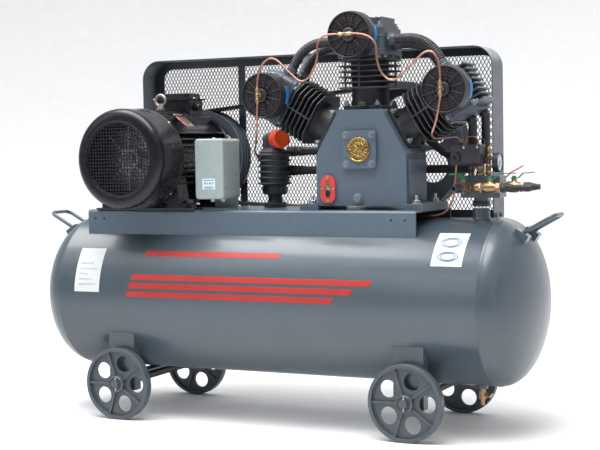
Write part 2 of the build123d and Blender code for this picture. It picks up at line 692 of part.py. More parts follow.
def make_piston(bank):
    """Piston with three rings and its wrist pin, at its height for the rest crank angle."""
    pin = pin_height(bank)
    with BuildPart() as piston:
        with BuildSketch(bank_plane(bank, pin - PISTON_DOWN)):
            Circle(BORE_R - 0.08)
        extrude(amount=PISTON_UP + PISTON_DOWN)
        with BuildSketch(bank_plane(bank, pin - PISTON_DOWN)):
            Circle(BORE_R - 7)
        extrude(amount=PISTON_UP + PISTON_DOWN - 11, mode=Mode.SUBTRACT)
        y = BANK_Y[bank]
        center = bank_point(bank, 0, pin, y)
        for side in (-1, 1):
            with BuildSketch(facing_front(center.X, center.Z, y + side * 41)):
                Circle(15)
            extrude(amount=side * 33)
        for k in range(3):
            with BuildSketch(bank_plane(bank, pin + PISTON_UP - 8 - 8 * k)):
                Circle(BORE_R)
                Circle(BORE_R - 3, mode=Mode.SUBTRACT)
            extrude(amount=-3, mode=Mode.SUBTRACT)
            with BuildSketch(bank_plane(bank, pin + PISTON_UP - 8.1 - 8 * k)):
                Circle(BORE_R - 0.03)
                Circle(BORE_R - 2.9, mode=Mode.SUBTRACT)
            extrude(amount=-2.8)
        with BuildSketch(facing_front(center.X, center.Z, y + 36)):
            Circle(9)
        extrude(amount=72)
    save(piston, f"piston_{bank}")


def make_rod(bank):
    """Connecting rod's upper part, aimed at the crankpin and ending clear of the crank's sweep."""
    y = BANK_Y[bank]
    center = bank_point(bank, 0, pin_height(bank), y)
    aim = (Vector(CRANK_X, y, PIN_Z) - center).normalized()
    across = Vector(aim.Z, 0, -aim.X)
    with BuildPart() as rod:
        with BuildSketch(facing_front(center.X, center.Z, y + ROD_WIDE / 2)):
            Circle(17)
        extrude(amount=ROD_WIDE)
        with BuildSketch(Plane(center + aim * 12, x_dir=across, z_dir=aim)):
            Rectangle(18, 10)
        extrude(amount=ROD_STUB - 12)
        with BuildSketch(facing_front(center.X, center.Z, y + ROD_WIDE)):
            Circle(9 + FIT)
        extrude(amount=2 * ROD_WIDE, mode=Mode.SUBTRACT)
    save(rod, f"rod_{bank}")


for bank in BANKS:
    make_piston(bank)
    make_rod(bank)

# ---------------------------------------------------------------- cylinders, heads and filters
with BuildPart() as cylinders:
    for bank in BANKS:
        for low, high, wide, corner in ((CASE_FACE, CASE_FACE + 12, 134, 14),
                                        (CYLINDER_TOP - 10, CYLINDER_TOP, 150, 16)):
            with BuildSketch(bank_plane(bank, low)):
                RectangleRounded(wide, wide, corner)
            extrude(amount=high - low)
        with BuildSketch(bank_plane(bank, CASE_FACE)):
            Circle(58)
        extrude(amount=CYLINDER_TOP - CASE_FACE)
        for k in range(6):
            with BuildSketch(bank_plane(bank, FIN_START + FIN_PITCH * k)):
                RectangleRounded(168, 168, 34)
            extrude(amount=3)
        with BuildSketch(bank_plane(bank, FIN_START)):
            with Locations((0, -82), (0, 82)):
                Rectangle(4, 4)
        extrude(amount=90)
        with BuildSketch(bank_plane(bank, CASE_FACE - 5)):
            Circle(BORE_R)
        extrude(amount=CYLINDER_TOP, mode=Mode.SUBTRACT)
save(cylinders, "cylinders")

HEAD_HALF = 76
with BuildPart() as cylinder_heads:
    for bank in BANKS:
        with BuildSketch(bank_plane(bank, CYLINDER_TOP)):
            RectangleRounded(158, 158, 16)
        extrude(amount=12)
        with BuildSketch(bank_plane(bank, CYLINDER_TOP + 12)):
            RectangleRounded(2 * HEAD_HALF, 2 * HEAD_HALF, 14)
        extrude(amount=HEAD_TOP - CYLINDER_TOP - 12)
        with BuildSketch(bank_plane(bank, CYLINDER_TOP + 14)):
            with GridLocations(62, 0, 2, 1):
                Rectangle(50, 124)
        extrude(amount=HEAD_TOP - CYLINDER_TOP - 26, mode=Mode.SUBTRACT)
        with BuildSketch(bank_plane(bank, HEAD_TOP)):
            with GridLocations(17, 0, 8, 1):
                Rectangle(5, 104)
        extrude(amount=33)
save(cylinder_heads, "cylinder_heads")

FILTER_FRONT = -184
with BuildPart() as air_filters:
    for bank in BANKS:
        hub = bank_point(bank, 0, FILTER_H, 0)
        face = BANK_Y[bank] - HEAD_HALF
        for back, front, radius in ((face, -122, 27), (-118, -170, FILTER_R), (-170, -176, 66),
                                    (-176, FILTER_FRONT, 20), (-122, -160, FILTER_R + 2)):
            with BuildSketch(facing_front(hub.X, hub.Z, back)):
                Circle(radius)
            extrude(amount=back - front)
        with BuildSketch(facing_front(hub.X, hub.Z, -124)):
            Circle(FILTER_R - 4)
        extrude(amount=42, mode=Mode.SUBTRACT)
save(air_filters, "air_filters")

# ---------------------------------------------------------------- pipes
PIPE_R = 15.5
TUBE_R = 13


def lay_tube(points, radii, radius):
    """Round tube along straight runs joined by tangent arcs, added to the piece being made."""
    with BuildLine() as route:
        path = FilletPolyline(points, radius=radii)
    with BuildSketch(Plane(path @ 0, z_dir=path % 0)) as section:
        Circle(radius)
    sweep(section.sketch, path=path)


with BuildPart() as delivery_pipes:
    for bank, side in (("left", -1), ("right", 1)):
        for y, height, top in ((-50, 342, 1182), (-3, 318, 1170)):
            start = bank_point(bank, -side * HEAD_HALF, height, y)
            away = Vector(-side * 0.5, 0, math.sqrt(0.75))
            bend = start + away * ((top - start.Z) / away.Z)
            end = Vector(CRANK_X + side * HEAD_HALF, y, top)
            lay_tube([start, bend, end], [110], PIPE_R)
            for at, aim in ((start, away), (end, Vector(side, 0, 0))):
                with BuildSketch(Plane(at, x_dir=(0, 1, 0), z_dir=aim)) as nut:
                    RegularPolygon(22, 6)
                extrude(nut.sketch, amount=15)
    left = CHECK_X + 70
    low_end = bank_point("right", HEAD_HALF + 8, 315, 24)
    high_end = bank_point("right", HEAD_HALF + 8, 349, 58)
    lay_tube([(left, PORT_Y, 786), (515, PORT_Y, 786), (low_end.X, low_end.Y, 786), low_end],
             [60, 28], TUBE_R)
    lay_tube([(left, PORT_Y, 848), (170, PORT_Y, 848), (215, PORT_Y, 900), (415, PORT_Y, 900),
              (505, PORT_Y, 832), (high_end.X, high_end.Y, 832), high_end],
             [40, 40, 40, 40, 28], TUBE_R)
    for height, y in ((313, 24), (347, 56)):
        seat = bank_point("right", HEAD_HALF, height, y)
        with BuildSketch(Plane(seat, x_dir=(0, 1, 0), z_dir=(0.5, 0, -math.sqrt(0.75)))) as nut:
            RegularPolygon(16, 6)
        extrude(nut.sketch, amount=16)
save(delivery_pipes, "delivery_pipes")


def easy_radii(points):
    """Corner radii that take up most of the shorter run beside each corner."""
    radii = []
    for before, corner, after in zip(points, points[1:], points[2:]):
        run_in, run_out = Vector(corner) - Vector(before), Vector(after) - Vector(corner)
        half_turn = math.radians(run_in.get_angle(run_out)) / 2
        radii.append(0.45 * min(run_in.length, run_out.length) / math.tan(half_turn))
    return radii


LINE_Y = -200             # the copper line runs just in front of the intake filters
LINE_R = 3
SIDE_HUB_Z = CRANK_Z + FILTER_H * 0.5
TOP_HUB_Z = CRANK_Z + FILTER_H
HUB_LEFT, HUB_RIGHT = (CRANK_X + side * FILTER_H * math.sqrt(0.75) for side in (-1, 1))
UNLOADER_ROUTES = (
    [(598, -38, 866), (598, -38, 886), (556, -110, 878), (556, -180, 884), (584, LINE_Y, 930),
     (HUB_RIGHT, LINE_Y, SIDE_HUB_Z - 23)],
    [(HUB_RIGHT, LINE_Y, SIDE_HUB_Z + 23), (598, LINE_Y, 1100), (562, LINE_Y, 1142),
     (500, LINE_Y, 1086), (448, LINE_Y, 1040), (400, LINE_Y, 1088), (400, LINE_Y, 1190),
     (CRANK_X + 23, LINE_Y, TOP_HUB_Z)],
    [(CRANK_X - 23, LINE_Y, TOP_HUB_Z), (208, LINE_Y, 1199), (212, LINE_Y, 1110),
     (162, LINE_Y, 1046), (112, LINE_Y, 1088), (58, LINE_Y, 1142), (8, LINE_Y, 1104),
     (HUB_LEFT, LINE_Y, SIDE_HUB_Z + 23)],
    [(HUB_LEFT, LINE_Y, SIDE_HUB_Z - 23), (0, LINE_Y, 930), (-34, -140, 872), (-92, -50, 848),
     (CHECK_X - 41.5, CHECK_Y - 31.5, 829)],
    [(588, -50, 801.5), (584, -50, 740), (576, -50, 690), (548, -46, 655), (505, -40, 647),
     (472, -38, 648)],
)
with BuildPart() as unloader_line:
    for route in UNLOADER_ROUTES:
        lay_tube(route, easy_radii(route), LINE_R)
    for x, z, wide, tall in ((HUB_LEFT, SIDE_HUB_Z, 12, 46), (CRANK_X, TOP_HUB_Z, 46, 12),
                             (HUB_RIGHT, SIDE_HUB_Z, 12, 46)):
        with Locations((x, LINE_Y, z)):
            Box(wide, 12, tall)
        with BuildSketch(facing_front(x, z, FILTER_FRONT)):
            Circle(5)
        extrude(amount=14)
save(unloader_line, "unloader_line")

# ---------------------------------------------------------------- outlet group
with BuildPart() as outlet_manifold:
    with Locations(((BLOCK_LEFT + BLOCK_RIGHT) / 2, (BLOCK_FRONT + BLOCK_BACK) / 2,
                    (BLOCK_BOTTOM + BLOCK_TOP) / 2)):
        Box(BLOCK_RIGHT - BLOCK_LEFT, BLOCK_BACK - BLOCK_FRONT, BLOCK_TOP - BLOCK_BOTTOM)
    fillet(outlet_manifold.edges(), 2.5)
    for low, high, radius in ((RISER_FOOT, BLOCK_BOTTOM + 5, 22), (RISER_FOOT, RISER_FOOT + 9, 26)):
        with BuildSketch(Plane((RISER_X, 0, low))):
            Circle(radius)
        extrude(amount=high - low)
    with BuildSketch(Plane((RISER_X, 0, RISER_FOOT))):
        Circle(16)
    extrude(amount=60, mode=Mode.SUBTRACT)
save(outlet_manifold, "outlet_manifold")

VALVE_RUN = ((0, 12, 15.5), (12, 46, 14), (20, 24, 17), (58, 12, 15.5), (70, 22, 13), (92, 10, 10))
TAIL_START = 102
LEVER_BASE = 752
# name, start of the body, direction of flow and tail length
VALVES = (("front", (614, BLOCK_FRONT, VALVE_Z), (0, -1, 0), 18),
          ("right", (662, BLOCK_FRONT - 32, VALVE_Z), (1, 0, 0), 57),
          ("end", (BLOCK_RIGHT, 2, VALVE_Z), (1, 0, 0), 10),
          ("back", (690, BLOCK_BACK, VALVE_Z), (0, 1, 0), 10))
STEM_AT = 34              # from the start of a valve body to its stem
TAIL_R = 9
with BuildPart() as outlet_valves:
    for name, at, aim, tail in VALVES:
        base = Plane(at, z_dir=aim)
        for low, length, radius in VALVE_RUN + ((TAIL_START, tail, TAIL_R),):
            with BuildSketch(base.offset(low)):
                Circle(radius)
            extrude(amount=length)
        stem = Vector(*at) + Vector(*aim) * STEM_AT
        with BuildSketch(Plane((stem.X, stem.Y, VALVE_Z))):
            Circle(9)
        extrude(amount=LEVER_BASE - VALVE_Z)
    with BuildSketch(facing_front(664, VALVE_Z, BLOCK_FRONT)):
        Circle(15)
    extrude(amount=34)
    with Locations((664, BLOCK_FRONT - 32, VALVE_Z)):
        Sphere(15.5)
save(outlet_valves, "outlet_valves")


def make_lever(name, x, y, angle, length, rise):
    """Flat cranked lever on a valve stem, pointing this many degrees round from +X."""
    aim = Plane((x, y, 0), x_dir=(math.cos(math.radians(angle)), math.sin(math.radians(angle)), 0),
                z_dir=(math.sin(math.radians(angle)), -math.cos(math.radians(angle)), 0))
    low = LEVER_BASE + 6
    with BuildPart() as lever:
        with BuildSketch(aim.offset(-6)):
            with BuildLine():
                Polyline((-9, low), (14, low), (28, low + 14), (length, low + rise), (length, low + rise + 3),
                         (27, low + 17), (13, low + 3), (-9, low + 3), close=True)
            make_face()
        extrude(amount=12)
        with BuildSketch(Plane((x, y, LEVER_BASE + 0.3))):
            Circle(6)
        extrude(amount=14)
    save(lever, name)


make_lever("lever_front", 614, BLOCK_FRONT - STEM_AT, -90, 104, 16)
make_lever("lever_right", 662 + STEM_AT, BLOCK_FRONT - 32, 0, 78, 16)
make_lever("lever_end", BLOCK_RIGHT + STEM_AT, 2, 0, 62, 16)
make_lever("lever_back", 690, BLOCK_BACK + STEM_AT, 0, 66, 34)

SWITCH_LEFT, SWITCH_RIGHT = 576, 668
with BuildPart() as pressure_switch:
    with Locations(((SWITCH_LEFT + SWITCH_RIGHT) / 2, -38.5, 831)):
        Box(SWITCH_RIGHT - SWITCH_LEFT, 53, 58)
    fillet(pressure_switch.edges().filter_by(Axis.Y), 5)
    with BuildSketch(facing_front(592, 823, -65)):
        Circle(12)
        Circle(7, mode=Mode.SUBTRACT)
    extrude(amount=5)
    for x, radius in ((624, 9), (648, 8)):
        with BuildSketch(Plane((x, -18, BLOCK_TOP))):
            Circle(radius)
        extrude(amount=36)
    with BuildSketch(Plane((598, -38, 859))):
        RegularPolygon(7, 6)
    extrude(amount=7)
save(pressure_switch, "pressure_switch")

GAUGE_Y, STACK_X = -1, 672
GAUGE_BACK, GAUGE_FRONT = 690, 709
with BuildPart() as pressure_gauge:
    for low, high, radius in ((STACK_X, GAUGE_BACK + 2, 6), (GAUGE_BACK, GAUGE_FRONT, 29)):
        with BuildSketch(facing_right(low, GAUGE_Y, GAUGE_Z)):
            Circle(radius)
        extrude(amount=high - low)
    with BuildSketch(facing_right(GAUGE_FRONT, GAUGE_Y, GAUGE_Z)):
        Circle(26.5)
    extrude(amount=-4, mode=Mode.SUBTRACT)
    with BuildSketch(Plane((STACK_X, GAUGE_Y, BLOCK_TOP))):
        RegularPolygon(9, 6)
    extrude(amount=88)
save(pressure_gauge, "pressure_gauge")

with BuildPart() as gauge_needle:
    with BuildSketch(facing_right(GAUGE_FRONT - 3, GAUGE_Y, GAUGE_Z)):
        Circle(3)
        with Locations((-6, -6)):
            Rectangle(26, 1.6, rotation=45)
    extrude(amount=1)
save(gauge_needle, "gauge_needle")

RELIEF_X, RELIEF_Y = 643, 22
with BuildPart() as safety_valve:
    for low, high, radius in ((BLOCK_TOP, BLOCK_TOP + 8, 10), (BLOCK_TOP + 8, 848, 8.5), (848, 853, 6)):
        with BuildSketch(Plane((RELIEF_X, RELIEF_Y, low))):
            Circle(radius)
        extrude(amount=high - low)
save(safety_valve, "safety_valve")

with BuildPart() as safety_ring:
    with BuildSketch(Plane((RELIEF_X, RELIEF_Y, 853.3))):
        Circle(2.5)
    extrude(amount=6)
    with Locations((RELIEF_X, RELIEF_Y, 868)):
        Torus(10, 1.6, rotation=(90, 0, 0))
save(safety_ring, "safety_ring")

DRAIN_TOP = TANK_Z - TANK_R - 13.5
with BuildPart() as drain_cock:
    for high, low, radius in ((DRAIN_TOP, 110, 9), (118, 96, 11), (96, 77, 6)):
        with BuildSketch(Plane((DRAIN_X, 0, low))):
            Circle(radius)
        extrude(amount=high - low)
    with BuildSketch(facing_right(DRAIN_X, 0, 107)):
        Circle(7)
    extrude(amount=16)
save(drain_cock, "drain_cock")

with BuildPart() as drain_lever:
    with BuildSketch(facing_right(DRAIN_X + 16.3, 0, 107)):
        Circle(4)
    extrude(amount=12)
    with BuildSketch(facing_right(DRAIN_X + 24, 0, 107)):
        SlotOverall(38, 9)
    extrude(amount=5)
save(drain_lever, "drain_lever")

with BuildPart() as sight_glass:
    with BuildSketch(facing_front(193, 731, CASE_FRONT)):
        SlotOverall(86, 48, rotation=90)
        SlotOverall(52, 16, rotation=90, mode=Mode.SUBTRACT)
    extrude(amount=8)
    with BuildSketch(facing_front(193, 731, CASE_FRONT)):
        SlotOverall(52, 16, rotation=90)
    extrude(amount=4)
save(sight_glass, "sight_glass")

# ---------------------------------------------------------------- fasteners
with BuildPart() as bolts:
    foot_top = MOTOR_Z - 144
    with BuildSketch(Plane((MOTOR_X, -20, foot_top))):
        with GridLocations(292, 176, 2, 2):
            RegularPolygon(10, 6)
    extrude(amount=9)
    with BuildSketch(Plane((CRANK_X, -2, DECK_TOP + 18))):
        with GridLocations(344, 156, 2, 2):
            RegularPolygon(12, 6)
    extrude(amount=10)
    with BuildSketch(Plane((CRANK_X, -2, DECK_TOP + 28))):
        with GridLocations(344, 156, 2, 2):
            Circle(5)
    extrude(amount=14)
    with BuildSketch(facing_front(CRANK_X, CRANK_Z, CASE_FRONT - 12)):
        with GridLocations(84, 88, 2, 2):
            RegularPolygon(7.5, 6)
    extrude(amount=6)
    with BuildSketch(facing_front(292, 703, CASE_FRONT)):
        RegularPolygon(13, 6)
    extrude(amount=10)
    for bank in BANKS:
        with BuildSketch(bank_plane(bank, HEAD_TOP)):
            with GridLocations(120, 124, 2, 2):
                RegularPolygon(8, 6)
        extrude(amount=9)
    for x, aim in ((GUARD_RIGHT, 1), (GUARD_LEFT, -1)):
        with BuildSketch(Plane((x, 246, 637), x_dir=(0, 1, 0), z_dir=(aim, 0, 0))):
            with GridLocations(44, 0, 2, 1):
                RegularPolygon(8, 6)
        extrude(amount=6)
save(bolts, "bolts")
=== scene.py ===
"""Looks of the belt-driven air compressor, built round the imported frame.

Everything is in metres in the frame's own axes: X along the receiver, Y towards the belt guard, Z up.
"""
from math import asin, cos, hypot, pi, radians, sin, sqrt, tan

import bpy
import bmesh
from mathutils import Matrix, Vector


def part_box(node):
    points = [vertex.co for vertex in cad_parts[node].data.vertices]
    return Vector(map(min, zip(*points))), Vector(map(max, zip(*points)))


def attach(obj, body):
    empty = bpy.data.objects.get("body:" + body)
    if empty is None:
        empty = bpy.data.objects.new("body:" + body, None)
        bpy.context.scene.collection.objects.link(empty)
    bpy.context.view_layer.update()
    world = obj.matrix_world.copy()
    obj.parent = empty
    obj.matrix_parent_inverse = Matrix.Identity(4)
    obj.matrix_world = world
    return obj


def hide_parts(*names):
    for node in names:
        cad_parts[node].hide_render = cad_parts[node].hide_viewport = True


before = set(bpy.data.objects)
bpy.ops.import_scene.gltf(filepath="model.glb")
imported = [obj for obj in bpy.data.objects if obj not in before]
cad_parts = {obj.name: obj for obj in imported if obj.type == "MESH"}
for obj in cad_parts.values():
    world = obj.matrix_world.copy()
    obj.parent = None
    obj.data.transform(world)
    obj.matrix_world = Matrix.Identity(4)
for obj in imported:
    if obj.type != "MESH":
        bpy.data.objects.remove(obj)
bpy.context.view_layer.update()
CHASSIS = "chassis"
UP, FRONT, BACK, RIGHT = (Vector(v) for v in ((0, 0, 1), (0, -1, 0), (0, 1, 0), (1, 0, 0)))
MM = 0.001


# ---------------------------------------------------------------- materials
def feed(tree, node, **inputs):
    """Give a node its inputs, named by their sockets: sockets are linked and plain values are set."""
    for key, value in inputs.items():
        socket = node.inputs[int(key[1:])] if key[0] == "_" else node.inputs[key.replace("_", " ")]
        if isinstance(value, bpy.types.NodeSocket):
            tree.links.new(value, socket)
        else:
            socket.default_value = value
    return node


def shader(tree, kind, settings=None, **inputs):
    """Add a node with its settings and inputs."""
    node = tree.nodes.new(kind)
    for key, value in (settings or {}).items():
        setattr(node, key, value)
    return feed(tree, node, **inputs)


def noise(tree, place, scale, detail):
    return shader(tree, "ShaderNodeTexNoise", Vector=place, Scale=scale, Detail=detail).outputs[0]


def multiply(tree, first, second):
    return shader(tree, "ShaderNodeMath", {"operation": "MULTIPLY"}, _0=first, _1=second).outputs[0]


def mix(tree, factor, first, second):
    """Colour between two, each a socket or plain; the result's socket is returned."""
    first, second = (c if isinstance(c, bpy.types.NodeSocket) else (*c, 1.0) for c in (first, second))
    return shader(tree, "ShaderNodeMix", {"data_type": "RGBA"}, _0=factor, _6=first, _7=second).outputs[2]


def ramp(tree, value, low, high, out_low=0.0, out_high=1.0):
    return shader(tree, "ShaderNodeMapRange", _0=value, _1=low, _2=high, _3=out_low, _4=out_high).outputs[0]


def new_material(name):
    """Material with its nodes, its shader and the object's own coordinates."""
    material = bpy.data.materials.new(name)
    material.use_nodes = True
    tree = material.node_tree
    return material, tree, tree.nodes["Principled BSDF"], shader(tree, "ShaderNodeTexCoord").outputs["Object"]


def surface(name, colour, shade, rough, metal, patch, grain, bump, edge=None, edge_highlight_amount=0.6, spread=0.08,
            edge_radius=0.0012, coat=0.0, brushed=None, dust=None, dust_amount=0.0, shine=0.5):
    """Procedural finish: patchy colour, uneven gloss, fine bump, softened edges, and edges lightened as a
    painted highlight.
    """
    material, tree, skin, place = new_material(name)
    colour, shade, edge, dust = (c and tuple(v / 1000 for v in c) for c in (colour, shade, edge, dust))
    stretch = shader(tree, "ShaderNodeMapping", Vector=place, Scale=brushed).outputs[0] if brushed else place
    middle = noise(tree, place, patch * 11, 4.0)
    soft = shader(tree, "ShaderNodeBevel", {"samples": 4}, Radius=edge_radius).outputs[0]
    true = shader(tree, "ShaderNodeNewGeometry").outputs["Normal"]
    base = mix(tree, ramp(tree, noise(tree, place, patch, 5.0), 0.35, 0.68), colour,
               shade or tuple(c * 0.78 for c in colour))
    base = mix(tree, ramp(tree, middle, 0.52, 0.75, 0.0, 0.35), base, tuple(min(1, c * 1.22) for c in colour))
    if dust:
        slope = shader(tree, "ShaderNodeSeparateXYZ", Vector=true).outputs["Z"]
        lying = ramp(tree, slope, 0.2, 1.0, 0.0, dust_amount)
        base = mix(tree, multiply(tree, lying, ramp(tree, middle, 0.3, 0.7, 0.4, 1.0)), base, dust)
    # Painted highlight: the edge colour is mixed in patchily along every edge, standing in for light catching
    # the edges.
    if edge:
        turn = shader(tree, "ShaderNodeVectorMath", {"operation": "DOT_PRODUCT"}, _0=soft, _1=true)
        edge_highlight_share = ramp(tree, middle, 0.3, 0.6, 0.35 * edge_highlight_amount, edge_highlight_amount)
        base = mix(tree, multiply(tree, ramp(tree, turn.outputs["Value"], 0.995, 0.86), edge_highlight_share), base, edge)
    relief = shader(tree, "ShaderNodeBump", Strength=0.6, Distance=bump * 1e-6, Normal=soft,
                    Height=noise(tree, stretch, grain, 3.0))
    feed(tree, skin, Base_Color=base, Normal=relief.outputs[0], Metallic=metal, Specular_IOR_Level=shine,
         Roughness=ramp(tree, middle, 0.3, 0.7, max(0.02, rough - spread), min(1.0, rough + spread)),
         Coat_Weight=coat, Coat_Roughness=0.12)
    return material


# Colours are in thousandths and the fine bump is in thousandths of a millimetre.
# name: colour, second colour, roughness, metal, patches and grain per metre, bump, painted edge highlight
# colour and its share
# Pale blue painted along edges as a highlight.
PALE_EDGE_HIGHLIGHT = (200, 260, 310)
LOOK_TABLE = {
    "enamel": ((56, 77, 96), (49, 68, 85), 0.32, 0, 2.2, 240, 20, PALE_EDGE_HIGHLIGHT, 0.35,
               dict(spread=0.025, coat=0.25)),
    "deck_enamel": ((82, 118, 158), (70, 102, 138), 0.36, 0, 3, 700, 80, PALE_EDGE_HIGHLIGHT, 0.55,
                    dict(spread=0.03, coat=0.2)),
    "wheel_enamel": ((60, 76, 92), (45, 57, 70), 0.45, 0, 9, 420, 300, (300, 360, 380), 0.6,
                     dict(coat=0.1, dust=(200, 180, 150), dust_amount=0.25)),
    "guard_enamel": ((50, 64, 82), None, 0.40, 0, 3, 800, 60, (250, 320, 360), 0.4, dict(coat=0.2)),
    "bar_enamel": ((30, 34, 40), None, 0.45, 0, 5, 800, 50, (150, 180, 200), 0.3),
    "mesh_steel": ((85, 65, 66), None, 0.55, 0.35, 20, 600, 50, (300, 260, 250), 0.3,
                   dict(edge_radius=0.0004)),
    "motor_black": ((9, 8, 12), (6, 5, 8), 0.26, 0, 6, 600, 70, (70, 65, 90), 0.3,
                    dict(coat=0.2, spread=0.04, dust=(30, 27, 34), dust_amount=0.10, shine=0.24)),
    "case_enamel": ((76, 104, 140), (66, 92, 124), 0.46, 0, 5, 520, 220, (300, 400, 460), 0.5,
                    dict(coat=0.12)),
    "cast_black": ((13, 15, 19), (8, 9, 12), 0.50, 0, 8, 480, 300, (240, 270, 300), 0.85,
                   dict(edge_radius=0.0011)),
    "head_enamel": ((52, 68, 88), (40, 53, 68), 0.48, 0, 8, 480, 280, (300, 370, 420)),
    "valve_black": ((36, 42, 52), (22, 26, 32), 0.50, 0, 10, 420, 300, (170, 190, 220)),
    "bracket_black": ((22, 23, 26), None, 0.5, 0, 8, 500, 100, (150, 160, 170)),
    "filter_plastic": ((20, 17, 21), (14, 12, 16), 0.42, 0, 12, 1500, 50, (130, 120, 140), 0.55,
                       dict(edge_radius=0.0008)),
    "switch_plastic": ((22, 20, 30), None, 0.48, 0, 15, 1500, 60, (100, 100, 130), 0.5),
    "starter_plastic": ((300, 352, 350), (275, 326, 325), 0.34, 0, 5, 1400, 40, (520, 600, 600), 0.4,
                        dict(coat=0.15)),
    "orange_plastic": ((800, 85, 22), (700, 60, 18), 0.38, 0, 20, 900, 70, (950, 300, 180), 0.4),
    "blue_plastic": ((20, 160, 420), None, 0.4, 0, 30, 900, 50),
    "rubber": ((16, 15, 16), None, 0.62, 0, 12, 900, 120, (60, 60, 60), 0.5),
    "hose_black": ((22, 21, 25), None, 0.52, 0, 14, 800, 100, (100, 100, 110), 0.5),
    "brass": ((400, 270, 150), (300, 185, 100), 0.36, 0.9, 30, 700, 60, (660, 500, 300)),
    "copper": ((460, 230, 170), (330, 160, 125), 0.36, 0.85, 18, 700, 40),
    "gold": ((500, 330, 100), (280, 170, 50), 0.24, 1.0, 60, 900, 50, (950, 780, 420)),
    "zinc": ((560, 600, 580), (420, 450, 420), 0.34, 0.9, 30, 700, 60, (800, 820, 800), 0.5),
    "painted_bolt": ((150, 185, 205), None, 0.42, 0.3, 30, 500, 120, (420, 470, 500), 0.8),
    "eye_steel": ((460, 430, 420), (270, 240, 240), 0.36, 0.85, 40, 600, 100),
    "bright_steel": ((500, 500, 500), (380, 370, 360), 0.28, 1.0, 10, 500, 60, None, 0.6,
                     dict(brushed=(1, 1, 12))),
    "cast_iron": ((100, 105, 110), None, 0.6, 0.6, 10, 380, 400, (300, 300, 300)),
    "laminations": ((300, 310, 330), None, 0.4, 0.9, 10, 400, 200, None, 0.6, dict(brushed=(1, 30, 1))),
    "alloy": ((660, 660, 680), None, 0.32, 1.0, 10, 500, 100),
    "lever_green": ((8, 190, 90), (6, 130, 65), 0.32, 0, 60, 900, 60, (100, 420, 260)),
    "lever_red": ((620, 20, 25), (450, 12, 18), 0.32, 0, 60, 900, 60, (850, 220, 200)),
    "sight_red": ((580, 50, 45), (450, 35, 35), 0.34, 0, 40, 800, 60, (800, 250, 220), 0.6, dict(coat=0.3)),
    "sign_red": ((400, 26, 22), (350, 20, 18), 0.42, 0, 8, 900, 30),
    "paper": ((600, 620, 620), (550, 575, 580), 0.55, 0, 9, 600, 100),
    "print_blue": ((100, 220, 420), None, 0.5, 0, 30, 900, 30),
    "print_grey": ((450, 500, 520), None, 0.5, 0, 30, 900, 30),
    "dial_white": ((620, 720, 740), (560, 680, 710), 0.4, 0, 40, 900, 20),
    "ink": ((12, 12, 14), None, 0.5, 0, 40, 900, 20),
}


def clear_glass():
    """Thin clear window that stays light in every view."""
    material, tree, skin, place = new_material("clear_glass")
    smear = ramp(tree, noise(tree, place, 60.0, 4.0), 0.3, 0.7, 0.03, 0.12)
    feed(tree, skin, Roughness=smear, Base_Color=(0.93, 0.97, 0.98, 1), Transmission_Weight=1.0, IOR=1.45)
    return material


LOOKS = {"glass": clear_glass()}
for name, row in LOOK_TABLE.items():
    rest = row[-1] if isinstance(row[-1], dict) else {}
    LOOKS[name] = surface(name, *(value for value in row if not isinstance(value, dict)), **rest)

CAD_LOOKS = {
    "enamel": ("tank_barrel", "tank_heads", "handles", "outlet_manifold", "legs"),
    "deck_enamel": ("platform",),
    "wheel_enamel": ("wheel_front_left", "wheel_front_right", "wheel_rear_left", "wheel_rear_right"),
    "guard_enamel": ("belt_guard", "guard_stay", "motor_pulley", "flywheel"),
    "mesh_steel": ("guard_mesh",),
    "motor_black": ("motor_frame", "motor_end_bells", "motor_fan_cover", "terminal_box", "terminal_box_lid"),
    "bracket_black": ("motor_slide_rails",),
    "case_enamel": ("crankcase", "crankcase_covers"),
    "cast_black": ("cylinders",),
    "head_enamel": ("cylinder_heads",),
    "hose_black": ("delivery_pipes",),
    "valve_black": ("check_valve_body",),
    "laminations": ("motor_stator", "motor_rotor"),
    "bright_steel": ("bearings", "rod_left", "rod_centre", "rod_right"),
    "bar_enamel": ("axles",),
    "painted_bolt": ("bolts",),
    "eye_steel": ("motor_eyebolt",),
    "lever_green": ("lever_front", "lever_right", "lever_end", "safety_ring"),
    "lever_red": ("lever_back",),
    "cast_iron": ("crankshaft",),
    "alloy": ("motor_fan", "piston_left", "piston_centre", "piston_right"),
    "brass": ("outlet_valves", "safety_valve", "drain_cock", "drain_lever"),
    "copper": ("unloader_line",),
    "rubber": ("drive_belts",),
    "filter_plastic": ("air_filters",),
    "switch_plastic": ("pressure_switch", "pressure_gauge"),
    "ink": ("gauge_needle",),
    "starter_plastic": ("starter_box", "starter_lid"),
    "orange_plastic": ("check_valve_cap",),
    "sight_red": ("sight_glass",),
}
for look, names in CAD_LOOKS.items():
    for name in names:
        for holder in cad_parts[name].material_slots:
            holder.material = LOOKS[look]


# ---------------------------------------------------------------- mesh tools, in millimetres
def basis(axis, hint=None):
    """Two directions square to an axis and to each other."""
    axis = Vector(axis).normalized()
    hint = Vector(hint) if hint else (Vector((1, 0, 0)) if abs(axis.z) > 0.9 else UP)
    across = hint.cross(axis).normalized()
    return across, axis.cross(across)


def circle(count, u=RIGHT, v=UP, turn=0.0):
    """Directions spaced evenly round a circle in the plane of two others."""
    angles = [2 * pi * k / count + turn for k in range(count)]
    return [u * cos(a) + v * sin(a) for a in angles]


def corners(x, y):
    return [(side * x, way * y) for side in (-1, 1) for way in (-1, 1)]


def link(thing):
    bpy.context.scene.collection.objects.link(thing)
    return thing


